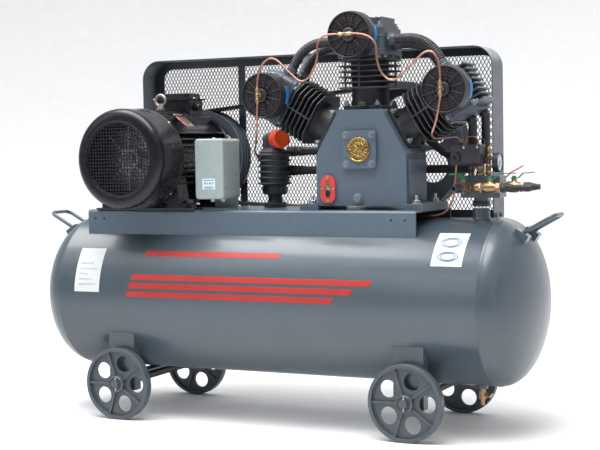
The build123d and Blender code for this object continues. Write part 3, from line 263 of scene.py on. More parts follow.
class Shape:
    """Points in millimetres and faces, gathered from simple forms before they become one mesh."""

    def __init__(self):
        self.points = []
        self.faces = []

    def add(self, points, faces):
        base = len(self.points)
        self.points += [Vector(p) for p in points]
        self.faces += [[base + i for i in face] for face in faces]
        return self

    def rings(self, rings, closed=False):
        """Skin a list of equal rings of points; open ends are capped unless the rings close on themselves."""
        count = len(rings[0])
        points = [p for ring in rings for p in ring]
        faces = []
        for k in range(len(rings) if closed else len(rings) - 1):
            low, high = k * count, ((k + 1) % len(rings)) * count
            turns = [(i, (i + 1) % count) for i in range(count)]
            faces += [[low + i, low + after, high + after, high + i] for i, after in turns]
        if not closed:
            faces += [list(range(count))[::-1], [(len(rings) - 1) * count + i for i in range(count)]]
        return self.add(points, faces)

    def lathe(self, origin, axis, profile, turns=64, closed=False):
        """Turn (along, radius) points about an axis."""
        origin, axis = Vector(origin), Vector(axis).normalized()
        spokes = circle(turns, *basis(axis))
        rings = [[origin + axis * a + s * max(r, 0.001) for s in spokes] for a, r in profile]
        return self.rings(rings, closed)

    def stud(self, origin, axis, radius, length, lead=1.0, taper=0.8):
        """End of a threaded rod with a bevelled tip."""
        profile = [(0, radius), (length - lead, radius), (length, radius - taper), (length, 0)]
        return self.lathe(origin, axis, profile, 20)

    def nut(self, origin, axis, flat_radius, length, hint=None, sides=6, chamfer=0.12):
        """Chamfered hexagon; flat_radius is from its middle to a flat."""
        origin, axis = Vector(origin), Vector(axis).normalized()
        spokes = circle(sides, *basis(axis, hint))
        corner = flat_radius / cos(pi / sides)
        lead = min(length * 0.3, corner * chamfer)
        end = 1 - chamfer
        steps = ((0, end), (lead, 1), (length - lead, 1), (length, end))
        return self.rings([[origin + axis * a + s * corner * size for s in spokes] for a, size in steps])

    def plate(self, outline, place, thick, chamfer=0.0):
        """Flat plate from an outline of (x, y) points, set on a 4x4 place and rising along its z."""
        middle = Vector((sum(p[0] for p in outline), sum(p[1] for p in outline))) / len(outline)
        rings = []
        steps = ((0, 0), (thick, 0))
        if chamfer:
            steps = ((0, chamfer), (chamfer, 0), (thick - chamfer, 0), (thick, chamfer))
        for height, inset in steps:
            ring = []
            for p in outline:
                away = Vector(p) - middle
                kept = middle + away * (1 - inset / max(away.length, 0.001))
                ring.append(place @ Vector((kept.x, kept.y, height)))
            rings.append(ring)
        return self.rings(rings)

    def block(self, low, high, radius=2.0, place=None, segments=2):
        """Box with rounded edges."""
        mesh = bmesh.new()
        bmesh.ops.create_cube(mesh, size=1)
        size = Vector(high) - Vector(low)
        for vert in mesh.verts:
            vert.co = Vector(low) + Vector([(vert.co[k] + 0.5) * size[k] for k in range(3)])
        bmesh.ops.bevel(mesh, geom=mesh.edges[:], offset=radius, segments=segments, profile=0.5,
                        affect="EDGES", clamp_overlap=True)
        mesh.verts.ensure_lookup_table()
        points = [place @ v.co if place else v.co.copy() for v in mesh.verts]
        faces = [[v.index for v in face.verts] for face in mesh.faces]
        mesh.free()
        return self.add(points, faces)

    def pipe(self, path, radius, sides=24, ripple=0.0, pitch=6.0):
        """Round tube along points, or a ribbed one where ripple is the ribs' height."""
        rings = []
        travelled = 0.0
        across = None
        for k, point in enumerate(path):
            ahead = (path[min(k + 1, len(path) - 1)] - path[max(k - 1, 0)]).normalized()
            if across is None:
                across = basis(ahead)[0]
            across = (across - ahead * across.dot(ahead)).normalized()
            if k:
                travelled += (point - path[k - 1]).length
            size = radius - ripple * (0.5 + 0.5 * cos(2 * pi * travelled / pitch))
            rings.append([point + spoke * size for spoke in circle(sides, across, ahead.cross(across))])
        return self.rings(rings)


def build(name, shape, look, body=CHASSIS, stands_for=(), sharp=38.0):
    """Turn a shape into a piece: welded, smooth but for its sharp edges, finished and riding on a body."""
    mesh = bpy.data.meshes.new(name)
    mesh.from_pydata([p * MM for p in shape.points], [], shape.faces)
    edit = bmesh.new()
    edit.from_mesh(mesh)
    bmesh.ops.remove_doubles(edit, verts=edit.verts[:], dist=0.00001)
    bmesh.ops.dissolve_degenerate(edit, edges=edit.edges[:], dist=0.000005)
    bmesh.ops.recalc_face_normals(edit, faces=edit.faces[:])
    for face in edit.faces:
        face.smooth = True
    limit = radians(sharp)
    for edge in edit.edges:
        if len(edge.link_faces) == 2 and edge.calc_face_angle(0) > limit:
            edge.smooth = False
    edit.to_mesh(mesh)
    edit.free()
    mesh.materials.append(LOOKS[look])
    thing = link(bpy.data.objects.new(name, mesh))
    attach(thing, body)
    if stands_for:
        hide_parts(*stands_for)
    return thing


def arc_path(points, radii, step=3.0):
    """Straight runs joined by tangent arcs, sampled every few millimetres."""
    points = [Vector(p) for p in points]
    path = [points[0]]
    for before, corner, after, radius in zip(points, points[1:], points[2:], radii):
        into, out = (corner - before).normalized(), (after - corner).normalized()
        half = into.angle(out) / 2
        start = corner - into * radius * tan(half)
        side = (out - into * out.dot(into)).normalized()
        centre = start + side * radius
        path += runs(path[-1], start, step)[1:]
        count = max(4, int(2 * half * radius / step))
        for k in range(1, count + 1):
            turn = 2 * half * k / count
            path.append(centre - side * radius * cos(turn) + into * radius * sin(turn))
    return path + runs(path[-1], points[-1], step)[1:]


def runs(start, end, step):
    count = max(1, int((end - start).length / step))
    return [start.lerp(end, k / count) for k in range(count + 1)]


def rounded_outline(width, height, radius, corner_steps=6):
    """Rounded rectangle about the origin, as (x, y) points."""
    outline = []
    for quarter, (sx, sy) in enumerate(((1, 1), (-1, 1), (-1, -1), (1, -1))):
        for k in range(corner_steps + 1):
            a = pi / 2 * (quarter + k / corner_steps)
            outline.append((sx * (width / 2 - radius) + radius * cos(a),
                            sy * (height / 2 - radius) + radius * sin(a)))
    return outline


def facing(origin, normal, across):
    """Place whose z is a normal and whose x runs along a given direction."""
    z = Vector(normal).normalized()
    x = (Vector(across) - z * Vector(across).dot(z)).normalized()
    turn = Matrix((x, z.cross(x), z)).transposed().to_4x4()
    return Matrix.Translation(Vector(origin)) @ turn


# ---------------------------------------------------------------- places taken from the frame, in millimetres
def span(node):
    low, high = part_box(node)
    return low / MM, high / MM


def middle_of(node):
    low, high = span(node)
    return (low + high) / 2


TANK = middle_of("tank_heads")
TANK_R = (span("tank_heads")[1].z - span("tank_heads")[0].z) / 2
HEAD_END = span("tank_heads")[1].x
HEAD_DEPTH = 125
BARREL_HALF = HEAD_END - HEAD_DEPTH
DECK_TOP = span("platform")[1].z
MOTOR = middle_of("motor_fan_cover")
COWL_R = (span("motor_fan_cover")[1].x - span("motor_fan_cover")[0].x) / 2
COWL_FRONT = span("motor_fan_cover")[0].y
COWL_BACK = span("motor_fan_cover")[1].y
CRANK = middle_of("flywheel")
BANKS = {"left": (-60, -30), "centre": (0, -15), "right": (60, 0)}
FILTER_HEIGHT = span("unloader_line")[1].z - 6 - CRANK.z
HEAD_HALF, FILTER_R = 76, 70.9
LINE_Y = span("unloader_line")[0].y + 6
PORT_Y, PORT_LEVELS = 95, (848, 786)
FIN_START, FIN_PITCH, HEAD_TOP = 186, 16.5, 366
AXLE_X, AXLE_Z = 495, 115
RISER_X = middle_of("outlet_manifold").x - 5.5
DECK_SKIRT = 151.5


def leaning(degrees):
    """Directions along and across something that leans towards +X from upright."""
    a = radians(degrees)
    return Vector((sin(a), 0, cos(a))), Vector((cos(a), 0, -sin(a)))


def bank_point(bank, across, height, y):
    """A point given by its distances across and along a cylinder's axis."""
    out, side = leaning(BANKS[bank][0])
    return Vector((CRANK.x, y, CRANK.z)) + side * across + out * height


# ---------------------------------------------------------------- receiver
def receiver():
    """Rolled barrel and dished heads with their weld beads, plus the bosses and lugs welded on."""
    bead = [(-5, 0.0), (-3.5, 1.0), (0, 1.5), (3.5, 1.0), (5, 0.0)]
    quarter = [pi / 2 * k / 28 for k in range(29)]
    dish = [(HEAD_DEPTH * cos(t), TANK_R * sin(t)) for t in quarter]
    profile = [(-BARREL_HALF - a, r) for a, r in dish]
    for seam in (-BARREL_HALF, BARREL_HALF):
        profile += [(seam + a, TANK_R + rise) for a, rise in bead]
    profile += [(BARREL_HALF + a, r) for a, r in reversed(dish)]
    shell = Shape().lathe((0, 0, TANK.z), RIGHT, sorted(profile), turns=160)
    build("receiver_shell", shell, "enamel", stands_for=("tank_barrel", "tank_heads"))
    fittings = Shape()
    boss = [(0, 33), (5, 28), (9, 25), (34, 25), (36, 23.5), (36, 0)]
    fittings.lathe((RISER_X, 0, TANK.z + TANK_R - 6), UP, boss, 48)
    drain_x = middle_of("drain_cock").x - 5
    boss = [(0, 25), (6, 20), (9, 19), (17, 19), (18, 18), (18, 0)]
    fittings.lathe((drain_x, 0, TANK.z - TANK_R + 5), -UP, boss, 40)
    for x in (-654, 614):
        lug = [(212, 522), (212, 650), (278, 650), (282, 646), (232, 560), (232, 482)]
        place = facing((x - 2.8, 0, 0), RIGHT, BACK)
        fittings.plate(lug, place, 5.6, chamfer=0.6)
    build("receiver_bosses", fittings, "enamel")


def tank_patch(name, corners, look, lift=0.35, rows=24, slant=0.0):
    """Thin sheet lying on the barrel between two X limits and two heights, its ends slanted."""
    x_low, x_high, z_low, z_high = corners
    shape = Shape()
    radius = TANK_R + lift
    low, high = (asin((z - TANK.z) / radius) for z in (z_low, z_high))
    rings = []
    for k in range(rows + 1):
        share = k / rows
        t = low + (high - low) * share
        lean = slant * share
        inner = radius - 0.5
        at = [(x_low, radius), (x_high, radius), (x_high, inner), (x_low, inner)]
        rings.append([Vector((x + lean, -r * cos(t), TANK.z + r * sin(t))) for x, r in at])
    shape.rings(rings)
    return build(name, shape, look)


def tank_markings():
    """Plain sheets and bands where the real machine carries its papers and lettering."""
    tank_patch("sheet_left", SHEET_LEFT, "paper")
    x_low, x_high, z_low, z_high = SHEET_LEFT
    for k in range(5):
        z = z_low + (z_high - z_low) * (0.16 + 0.12 * k)
        line = (x_low + 14, x_high - 14 - 17 * (k % 3), z, z + 5)
        tank_patch(f"sheet_left_line_{k}", line, "print_grey", 0.6, 2)
    tank_patch("sheet_right", SHEET_RIGHT, "paper")
    x_low, x_high, z_low, z_high = SHEET_RIGHT
    shell = TANK_R + 0.8
    for k, z in enumerate((0.30, 0.72)):
        middle = z_low + (z_high - z_low) * z
        ring = Shape()
        for radius in (20, 15):
            path = []
            for i in range(48):
                a = 2 * pi * i / 48
                height = middle + radius * 0.62 * sin(a)
                t = asin((height - TANK.z) / shell)
                path.append(Vector(((x_low + x_high) / 2 + radius * 1.5 * cos(a), -shell * cos(t), height)))
            ring.pipe(path + path[:2], 1.3, sides=6)
        build(f"sheet_right_mark_{k}", ring, "print_blue")
    for k, corners in enumerate(BANDS_SHORT):
        tank_patch(f"band_short_{k}", corners, "sign_red", slant=5)
    for k, corners in enumerate(BANDS_LONG):
        tank_patch(f"band_long_{k}", corners, "sign_red", slant=10)


SHEET_LEFT = (-655, -560, 408, 545)
SHEET_RIGHT = (565, 660, 513, 603)
BANDS_SHORT = [(-410, 72, 524, 540)]
BANDS_LONG = [(-462 + 8 * k, 382 - 60 * (2 - k), 396 + 27 * k, 414 + 27 * k) for k in range(3)]
receiver()
tank_markings()


# ---------------------------------------------------------------- belt guard's expanded metal
def expanded_mesh():
    """Lattice of diamond openings inside the guard's rounded outline."""
    low, high = span("guard_mesh")
    wide, tall, strand, corner = 12.6, 23.0, 2.1, 61
    shape = Shape()
    columns, rows = int((high.x - low.x) / (wide / 2)), int((high.z - low.z) / (tall / 2))

    def inside(x, z):
        x_over = max(low.x + corner - x, x - high.x + corner, 0)
        z_over = max(z - high.z + corner, 0)
        return hypot(x_over, z_over) < corner - 6 or x_over == 0 or z_over == 0

    outer = [Vector(p) for p in ((wide / 2, 0), (0, tall / 2), (-wide / 2, 0), (0, -tall / 2))]
    shrink = 1 - strand / 2 / (wide * tall / 4 / hypot(wide / 2, tall / 2))
    for i in range(1, columns):
        for j in range(1, rows):
            x, z = low.x + i * wide / 2, low.z + j * tall / 2
            if (i + j) % 2 and inside(x, z):
                for k in range(4):
                    a, b = outer[k], outer[(k + 1) % 4]
                    ring = [a, b, b * shrink, a * shrink]
                    points = [Vector((x + p.x, y, z + p.y)) for y in (high.y, low.y + 0.3) for p in ring]
                    shape.add(points, [(0, 1, 2, 3), (7, 6, 5, 4), (3, 2, 6, 7), (1, 0, 4, 5)])
    build("guard_expanded_mesh", shape, "mesh_steel", stands_for=("guard_mesh",))


expanded_mesh()


# ---------------------------------------------------------------- intake filters
def air_filter(bank, replaced):
    """Moulded filter can: ribbed face with spokes and rings, banded body and its neck on the head."""
    hub = bank_point(bank, 0, FILTER_HEIGHT, 0)
    neck = HEAD_HALF - BANKS[bank][1]
    start = Vector((hub.x, 0, hub.z))
    body = [(neck, 24), (neck, 27), (118, 27), (118, 58), (120, 65), (123, 69), (126, FILTER_R),
            (132, FILTER_R), (134, 69.4), (142, 69.4), (144, FILTER_R), (158, FILTER_R), (161, 69.4),
            (172, 69.4), (176, 68), (176.5, 66.5), (175, 65), (168.5, 64.5), (168.5, 21), (174, 20)]
    body += [(180 + 3.5 * sin(t), 20 * cos(t)) for t in (0.1, 0.4, 0.7, 1.0, 1.3, pi / 2)]
    can = Shape().lathe(start, FRONT, body, turns=96)
    for radius, rise in ((58, 171), (49, 171.5), (40, 172), (30, 173)):
        ring = [(168, radius - 1.4), (rise, radius - 1.0), (rise, radius + 1.0), (168, radius + 1.4)]
        can.lathe(start, FRONT, ring, turns=72, closed=True)
    for out in circle(12, turn=pi / 12):
        can.block((17, -1.5, 0), (66, 1.5, 6.5), 0.7, facing(start + FRONT * 168, FRONT, out), 1)
    for out in circle(36):
        can.block((68, -1.6, 0), (FILTER_R, 1.6, 14), 0.5, facing(start + FRONT * 144.5, FRONT, out), 1)
    for out in ((-0.35, 0, 1), (0.35, 0, -1)):
        can.block((66, -9, -16), (FILTER_R, 9, 14), 1.2, facing(start + FRONT * 146, FRONT, out))
    build(f"intake_filter_{bank}", can, "filter_plastic", stands_for=replaced)
    tab = Shape()
    for out in circle(72, turn=radians(-20))[:9]:
        tab.block((69, -3.4, 0), (72.6, 3.4, 17), 0.8, facing(start + FRONT * 126, FRONT, out), 1)
    build(f"filter_tab_{bank}", tab, "blue_plastic")


for bank, replaced in (("left", ("air_filters",)), ("centre", ()), ("right", ())):
    air_filter(bank, replaced)


# ---------------------------------------------------------------- copper unloader line
SIDE_HUB_Z = CRANK.z + FILTER_HEIGHT / 2
TOP_HUB_Z = CRANK.z + FILTER_HEIGHT
HUB_LEFT, HUB_RIGHT = (CRANK.x + side * FILTER_HEIGHT * sqrt(0.75) for side in (-1, 1))
UNLOADER_ROUTES = (
    [(598, -38, 866), (598, -38, 886), (556, -110, 878), (556, -180, 884), (584, LINE_Y, 930),
     (HUB_RIGHT, LINE_Y, SIDE_HUB_Z - 23)],
    [(HUB_RIGHT, LINE_Y, SIDE_HUB_Z + 23), (598, LINE_Y, 1100), (562, LINE_Y, 1142),
     (500, LINE_Y, 1086), (448, LINE_Y, 1040), (400, LINE_Y, 1088), (400, LINE_Y, 1190),
     (CRANK.x + 23, LINE_Y, TOP_HUB_Z)],
    [(CRANK.x - 23, LINE_Y, TOP_HUB_Z), (208, LINE_Y, 1199), (212, LINE_Y, 1110),
     (162, LINE_Y, 1046), (112, LINE_Y, 1088), (58, LINE_Y, 1142), (8, LINE_Y, 1104),
     (HUB_LEFT, LINE_Y, SIDE_HUB_Z + 23)],
    [(HUB_LEFT, LINE_Y, SIDE_HUB_Z - 23), (0, LINE_Y, 930), (-34, -140, 872), (-92, -50, 848),
     (-118.5, 33.5, 829)],
    [(588, -50, 801.5), (584, -50, 740), (576, -50, 690), (548, -46, 655), (505, -40, 647),
     (472, -38, 648)],
)


def smooth_route(points):
    """Points along a smooth curve that follows the given route."""
    curve = bpy.data.curves.new("route", "CURVE")
    curve.dimensions = "3D"
    spline = curve.splines.new("NURBS")
    spline.points.add(len(points) - 1)
    for knot, point in zip(spline.points, points):
        knot.co = (*point, 1)
    spline.order_u = 3
    spline.use_endpoint_u = True
    spline.resolution_u = 14
    holder = link(bpy.data.objects.new("route", curve))
    mesh = bpy.data.meshes.new_from_object(holder)
    path = [v.co.copy() for v in mesh.vertices]
    bpy.data.objects.remove(holder)
    bpy.data.curves.remove(curve)
    bpy.data.meshes.remove(mesh)
    return path


def unloader_line():
    tube = Shape()
    for route in UNLOADER_ROUTES:
        tube.pipe(smooth_route(route), 3.0, sides=16)
    build("unloader_tube", tube, "copper", stands_for=("unloader_line",))
    fittings = Shape()
    for x, z, run in ((HUB_LEFT, SIDE_HUB_Z, UP), (CRANK.x, TOP_HUB_Z, RIGHT), (HUB_RIGHT, SIDE_HUB_Z, UP)):
        centre = Vector((x, LINE_Y, z))
        for way in (-1, 1):
            aim = run * way
            fittings.lathe(centre, aim, [(0, 4.6), (9, 4.6), (9, 5.4), (11, 5.4)], 20)
            fittings.nut(centre + aim * 10, aim, 5.6, 9)
            fittings.lathe(centre + aim * 19, aim, [(0, 4.8), (3, 4.8), (5, 3.4), (6, 3.2)], 20)
        fittings.lathe(centre, BACK, [(-5.5, 0), (-5.5, 3.6), (-4.5, 4.8), (6, 4.8), (17, 4.8), (17, 0)], 20)
        fittings.nut(centre + BACK * 9, BACK, 6.2, 6)
    fittings.nut((598, -38, 866), UP, 6, 9)
    fittings.nut((-117, 30, 830), (0.15, 0.97, -0.15), 6.5, 10)
    build("unloader_fittings", fittings, "brass")


unloader_line()


def head_pipes():
    """Ribbed pipes between the side heads and the centre head, with their hexagon unions."""
    hoses, unions = Shape(), Shape()
    for bank, side in (("left", -1), ("right", 1)):
        for y, height, top in ((-50, 342, 1182), (-3, 318, 1170)):
            start = bank_point(bank, -side * HEAD_HALF, height, y)
            away = Vector((-side * 0.5, 0, sqrt(0.75)))
            bend = start + away * ((top - start.z) / away.z)
            end = Vector((CRANK.x + side * HEAD_HALF, y, top))
            hoses.pipe(arc_path([start, bend, end], [110], step=1.2), 15.5, 28, ripple=1.8, pitch=7.0)
            for at, aim in ((start, away), (end, Vector((side, 0, 0)))):
                unions.nut(at, aim, 18.8, 13)
                unions.lathe(at + aim * 13, aim, [(0, 17), (6, 16.8), (10, 16.2), (11, 15)], 36)
    build("head_pipes", hoses, "hose_black", stands_for=("delivery_pipes",))
    build("head_pipe_unions", unions, "head_enamel")


def check_valve_lines():
    ports = middle_of("check_valve_body").x + 45
    upper, lower = PORT_LEVELS
    lines, unions = Shape(), Shape()
    low_end = bank_point("right", HEAD_HALF + 8, 315, 24)
    high_end = bank_point("right", HEAD_HALF + 8, 349, 58)
    lines.pipe(arc_path([(ports, PORT_Y, lower), (515, PORT_Y, lower), (*low_end.xy, lower), low_end],
                        [60, 28]), 13, 28)
    lines.pipe(arc_path([(ports, PORT_Y, upper), (170, PORT_Y, upper), (215, PORT_Y, 900), (415, PORT_Y, 900),
                         (505, PORT_Y, 832), (*high_end.xy, 832), high_end], [40, 40, 40, 40, 28]), 13, 28)
    build("check_valve_lines", lines, "hose_black")
    for z in PORT_LEVELS:
        unions.nut((ports - 3, PORT_Y, z), RIGHT, 16.2, 16)
        unions.lathe((ports + 13, PORT_Y, z), RIGHT, [(0, 15), (4, 15), (5, 14.5), (9, 14.5)], 32)
        unions.nut((ports + 22, PORT_Y, z), RIGHT, 15.0, 15)
        unions.lathe((ports + 37, PORT_Y, z), RIGHT, [(0, 14.2), (8, 14), (10, 13)], 32)
    for height, y in ((313, 24), (347, 56)):
        unions.nut(bank_point("right", HEAD_HALF, height, y), (0.5, 0, -sqrt(0.75)), 14, 12)
    build("check_valve_unions", unions, "cast_black")


head_pipes()
check_valve_lines()


# ---------------------------------------------------------------- finned check valve
def check_valve():
    """Finned casting on a hexagon neck, with its elbow and outlet ports."""
    x, y, cap_z = -77, 65, 889
    casting = Shape()
    profile = [(684, 23), (709, 23), (709, 34), (712, 38.5), (738, 38.5), (742, 46)]
    for z in (742 + 18.5 * k for k in range(6)):
        profile += [(z, 47.5), (z + 0.6, 53.5), (z + 2.2, 55), (z + 4.8, 55), (z + 6.4, 53.5), (z + 7, 47.5)]
    profile += [(849, 47), (852, 44), (853, 36), (858, 34), (860, 21), (893, 20), (895, 18), (895, 0)]
    casting.lathe((x, y, 0), UP, profile, 96)
    casting.nut((x, y, DECK_TOP), UP, 32, 16, chamfer=0.07)
    casting.lathe((x, y, 684), UP, [(0, 26), (5, 26), (6, 23)], 48)
    casting.nut((x, y, 712), UP, 36, 24, chamfer=0.08)
    cap_aim = Vector((0.77, -0.64, 0)).normalized()
    casting.lathe((x, y, cap_z), cap_aim, [(0, 24), (21.5, 24), (21.5, 20)], 48)
    elbow = arc_path([(x - 26, y - 4, 846), (x - 26, y - 4, 900), (x + 10, y, 900)], [17], step=2)
    casting.pipe(elbow, 13, 32)
    casting.lathe((x - 26, y - 4, 852), UP, [(0, 17), (5, 17), (6, 13.5)], 36)
    for z in PORT_LEVELS:
        casting.nut((x + 36, PORT_Y, z), RIGHT, 16.4, 20)
        casting.lathe((x + 56, PORT_Y, z), RIGHT, [(0, 15), (14, 15)], 32)
    build("check_valve_casting", casting, "valve_black", stands_for=("check_valve_body",))
    middle = Vector((x, y, cap_z))
    cap = Shape().lathe(middle, cap_aim, [(22, 24.5), (22, 28), (23, 29.5), (26, 30), (58, 30), (61.5, 28.8),
                                          (63.5, 26), (64, 22), (63, 19), (63, 0)], 72)
    for out in circle(30, *basis(cap_aim)):
        cap.block((28, -1.1, 0), (30.0, 1.1, 31), 0.4, facing(middle + cap_aim * 26, cap_aim, out), 1)
    build("check_valve_knob", cap, "orange_plastic", stands_for=("check_valve_cap",))


check_valve()


# ---------------------------------------------------------------- motor
def fan_cowl():
    """Pressed cowl with a rolled front edge round a recessed grille of square holes."""
    front, back = COWL_FRONT, COWL_BACK
    origin = Vector((MOTOR.x, 0, MOTOR.z))
    outer = [(back, COWL_R), (back - 14, COWL_R), (back - 15, COWL_R - 1), (front + 40, COWL_R - 1.2)]
    for t in (pi / 2 * k / 12 for k in range(13)):
        outer.append((front + 30 - 30 * sin(t) ** 0.9, 124 + (COWL_R - 125.2) * cos(t) ** 0.75))
    inner = [(front, 120), (front + 1.5, 117.5), (front + 6, 116.5), (front + 7.5, 118), (front + 8, 122),
             (front + 34, COWL_R - 5), (back, COWL_R - 4)]
    cowl = Shape().lathe(origin, BACK, outer + inner, turns=144, closed=True)
    build("fan_cowl", cowl, "motor_black", stands_for=("motor_fan_cover",))
    grille = Shape()
    pitch, half_bar, reach = 10.6, 1.8, 118.5
    y = front + 6.2
    count = int(reach / pitch)
    here = Matrix.Translation(origin)
    for offset in (k * pitch for k in range(-count, count + 1)):
        low, high = offset - half_bar, offset + half_bar
        half = sqrt(reach * reach - offset * offset)
        grille.block((low, y, -half), (high, y + 1.6, half), 0.4, here, 1)
        grille.block((-half, y + 0.2, low), (half, y + 1.8, high), 0.4, here, 1)
    ring = [(y - 1, 113.5), (y - 1.8, 115), (y - 1, 118), (y + 2.5, 118), (y + 2.5, 113.5)]
    grille.lathe(origin, BACK, ring, 96, closed=True)
    build("cowl_grille", grille, "motor_black")
    screws = Shape()
    for out in circle(4, turn=pi / 4):
        at = origin + BACK * (back - 9) + out * (COWL_R - 1.5)
        screws.lathe(at, out, [(0, 5), (1.2, 5), (2.6, 3.5), (3.0, 0)], 20)
    build("cowl_screws", screws, "zinc")


def motor_trim():
    """Blank rating plate, lid screws and cable gland."""
    out, across = leaning(38)
    at = Vector((MOTOR.x, -55, MOTOR.z)) + out * 154
    face = at + out * 1.3
    plate = Shape().plate(rounded_outline(66, 48, 4), facing(at, out, across), 1.4, 0.3)
    build("rating_plate", plate, "zinc")
    strip = Shape().plate(rounded_outline(62, 14, 3), facing(face + FRONT * 14, out, across), 0.5, 0.1)
    build("rating_plate_strip", strip, "sign_red")
    rows = Shape()
    for k in range(3):
        place = facing(face - FRONT * (2 + 7 * k), out, across)
        rows.plate(rounded_outline(52 - 8 * k, 4, 1), place, 0.4, 0.1)
    build("rating_plate_rows", rows, "ink")
    screws = Shape()
    low, high = span("terminal_box_lid")
    centre = (low + high) / 2
    for x, y in corners(77, 30):
        spot = Vector((centre.x + x, centre.y + y, low.z + 4))
        screws.lathe(spot, UP, [(0, 5), (2.2, 5), (3.2, 4), (3.2, 0)], 20)
    build("terminal_lid_screws", screws, "zinc")
    low, high = span("terminal_box")
    seat = Vector((high.x, centre.y, low.z + 24))
    gland = Shape().nut(seat - RIGHT * 8, RIGHT, 12.5, 7)
    gland.lathe(seat - RIGHT, RIGHT, [(0, 10), (6, 10), (8, 8.5), (8, 6.2), (2, 6)], 32)
    build("terminal_gland", gland, "bracket_black")


def bell_shield():
    """Ribbed rim of the front end bell, which closes the cowl's back round the frame."""
    centre = Vector((MOTOR.x, COWL_BACK, MOTOR.z))
    rim = COWL_R - 3
    shield = Shape().lathe(centre, FRONT, [(1.5, 100), (1.5, rim), (5.5, rim), (5.5, 100)], 96, closed=True)
    for out in circle(48):
        shield.block((104, -1.2, 0), (149, 1.2, 3.5), 0.4, facing(centre + FRONT * 5.0, FRONT, out), 1)
    build("motor_bell_rim", shield, "motor_black")


fan_cowl()
bell_shield()
motor_trim()


# ---------------------------------------------------------------- starter
def starter_trim():
    """Label, screw and glands of the starter box."""
    low, high = span("starter_lid")
    label = Shape()
    middle = Vector(((low.x + high.x) / 2 - 1, low.y, low.z + 48))
    label.plate(rounded_outline(46, 34, 2), facing(middle + BACK * 0.1, FRONT, RIGHT), 0.6, 0.1)
    build("starter_label", label, "dial_white")
    rows = Shape()
    for x, z, w, h in ((0, 12, 40, 2), (-13, 2, 5, 7), (-4, 2, 3, 7), (5, 2, 5, 7), (14, 2, 3, 7),
                       (0, -9, 36, 2), (-2, -13, 30, 1.6)):
        rows.plate(rounded_outline(w, h, 0.7), facing(middle + Vector((x, -0.55, z)), FRONT, RIGHT), 0.4, 0.1)
    build("starter_label_rows", rows, "print_blue")
    screw = Shape()
    seat = Vector(((low.x + high.x) / 2 + 10, (low.y + high.y) / 2 + 4, high.z))
    screw.lathe(seat - UP, UP, [(0, 5.5), (2.5, 5.5), (4, 4.2), (4.2, 0)], 24)
    for x in (-20, 18):
        screw.lathe(Vector((middle.x + x, low.y + 60, low.z - 10)), UP, [(0, 9), (12, 9)], 24)
    build("starter_screws", screw, "zinc")


starter_trim()


# ---------------------------------------------------------------- outlet group
BLOCK_LOW, BLOCK_HIGH = span("outlet_manifold")
VALVE_Z = 733
VALVES = (("front", (614, BLOCK_LOW.y, VALVE_Z), FRONT, 18, ("outlet_valves",)),
          ("right", (662, BLOCK_LOW.y - 32, VALVE_Z), RIGHT, 57, ()),
          ("end", (BLOCK_HIGH.x, 2, VALVE_Z), RIGHT, 10, ()),
          ("back", (690, BLOCK_HIGH.y, VALVE_Z), BACK, 10, ()))


def ball_valve(name, at, aim, tail, replaced):
    """Forged ball valve with hexagon ends and a stem, and the barbed hose tail screwed into it."""
    at = Vector(at)
    body = Shape().nut(at, aim, 14.2, 10, hint=UP)
    profile = [(9, 12), (12, 13), (17, 15.2), (24, 17), (40, 17), (47, 15), (52, 13), (56, 12.5)]
    body.lathe(at, aim, profile, 40)
    body.nut(at + aim * 52, aim, 14.2, 15, hint=UP)
    stem = at + aim * 34
    body.lathe(stem, UP, [(10, 11), (15, 10), (17, 8), (19, 8), (19, 5), (25, 5)], 28)
    body.nut(stem + UP * 19, UP, 7, 6)
    build(f"{name}_valve_body", body, "brass", stands_for=replaced)
    hose = Shape().nut(at + aim * 67, aim, 14.0, 16, hint=UP)
    root, end = 102, 102 + tail
    profile = [(82, 12.5), (88, 12.5), (92, 10.5), (100, 10), (root, 9)]
    step = tail / max(1, int(tail / 10))
    for start in (root + k * step for k in range(round(tail / step))):
        profile += [(start, 8.6), (start + 1, 9), (start + step * 0.8, 7.6), (start + step * 0.95, 7.4)]
    profile += [(end - 3, 8.6), (end - 1, 9), (end, 8.2), (end, 5.6), (end - 14, 5.4), (end - 14, 0)]
    hose.lathe(at, aim, profile, 40)
    build(f"{name}_hose_tail", hose, "cast_black")


def manifold_trim():
    """Branch elbow of the right valve, plugs and the riser's union."""
    y = BLOCK_LOW.y
    elbow = Shape().lathe((664, y, VALVE_Z), FRONT, [(-1, 15), (8, 15), (10, 13), (22, 13)], 40)
    profile = [(0, 0), (0, 9), (2, 12), (6, 14.5), (12, 15.5), (18, 15.5), (24, 14)]
    elbow.lathe((646, y - 32, VALVE_Z), RIGHT, profile, 40)
    build("branch_elbow", elbow, "brass")
    foot = Vector((RISER_X, 0, span("tank_barrel")[1].z))
    riser = Shape().nut(foot + UP * 9, UP, 23, 8, chamfer=0.06)
    riser.lathe(foot + UP * 0.3, UP, [(0, 27), (3, 27), (3.4, 26), (5, 26), (5.4, 27), (8, 27)], 48)
    build("riser_union", riser, "cast_black")
    tree = Shape()
    low = 767
    for x in (624, 648):
        tree.nut((x, -18, low), UP, 8.6, 9)
        tree.lathe((x, -18, low + 9), UP, [(0, 7), (5, 7), (5, 8.5), (9, 8.5), (9, 6.5), (27, 6.5)], 28)
        tree.nut((x, -18, low + 20), UP, 8.2, 9)
    for z in (769, 789, 819, 839):
        tree.nut((672, -1, z), UP, 8.8, 10)
    tree.lathe((672, -1, low), UP, [(0, 7), (79, 7), (84, 6), (88, 5), (88, 0)], 28)
    build("gauge_tree", tree, "brass")


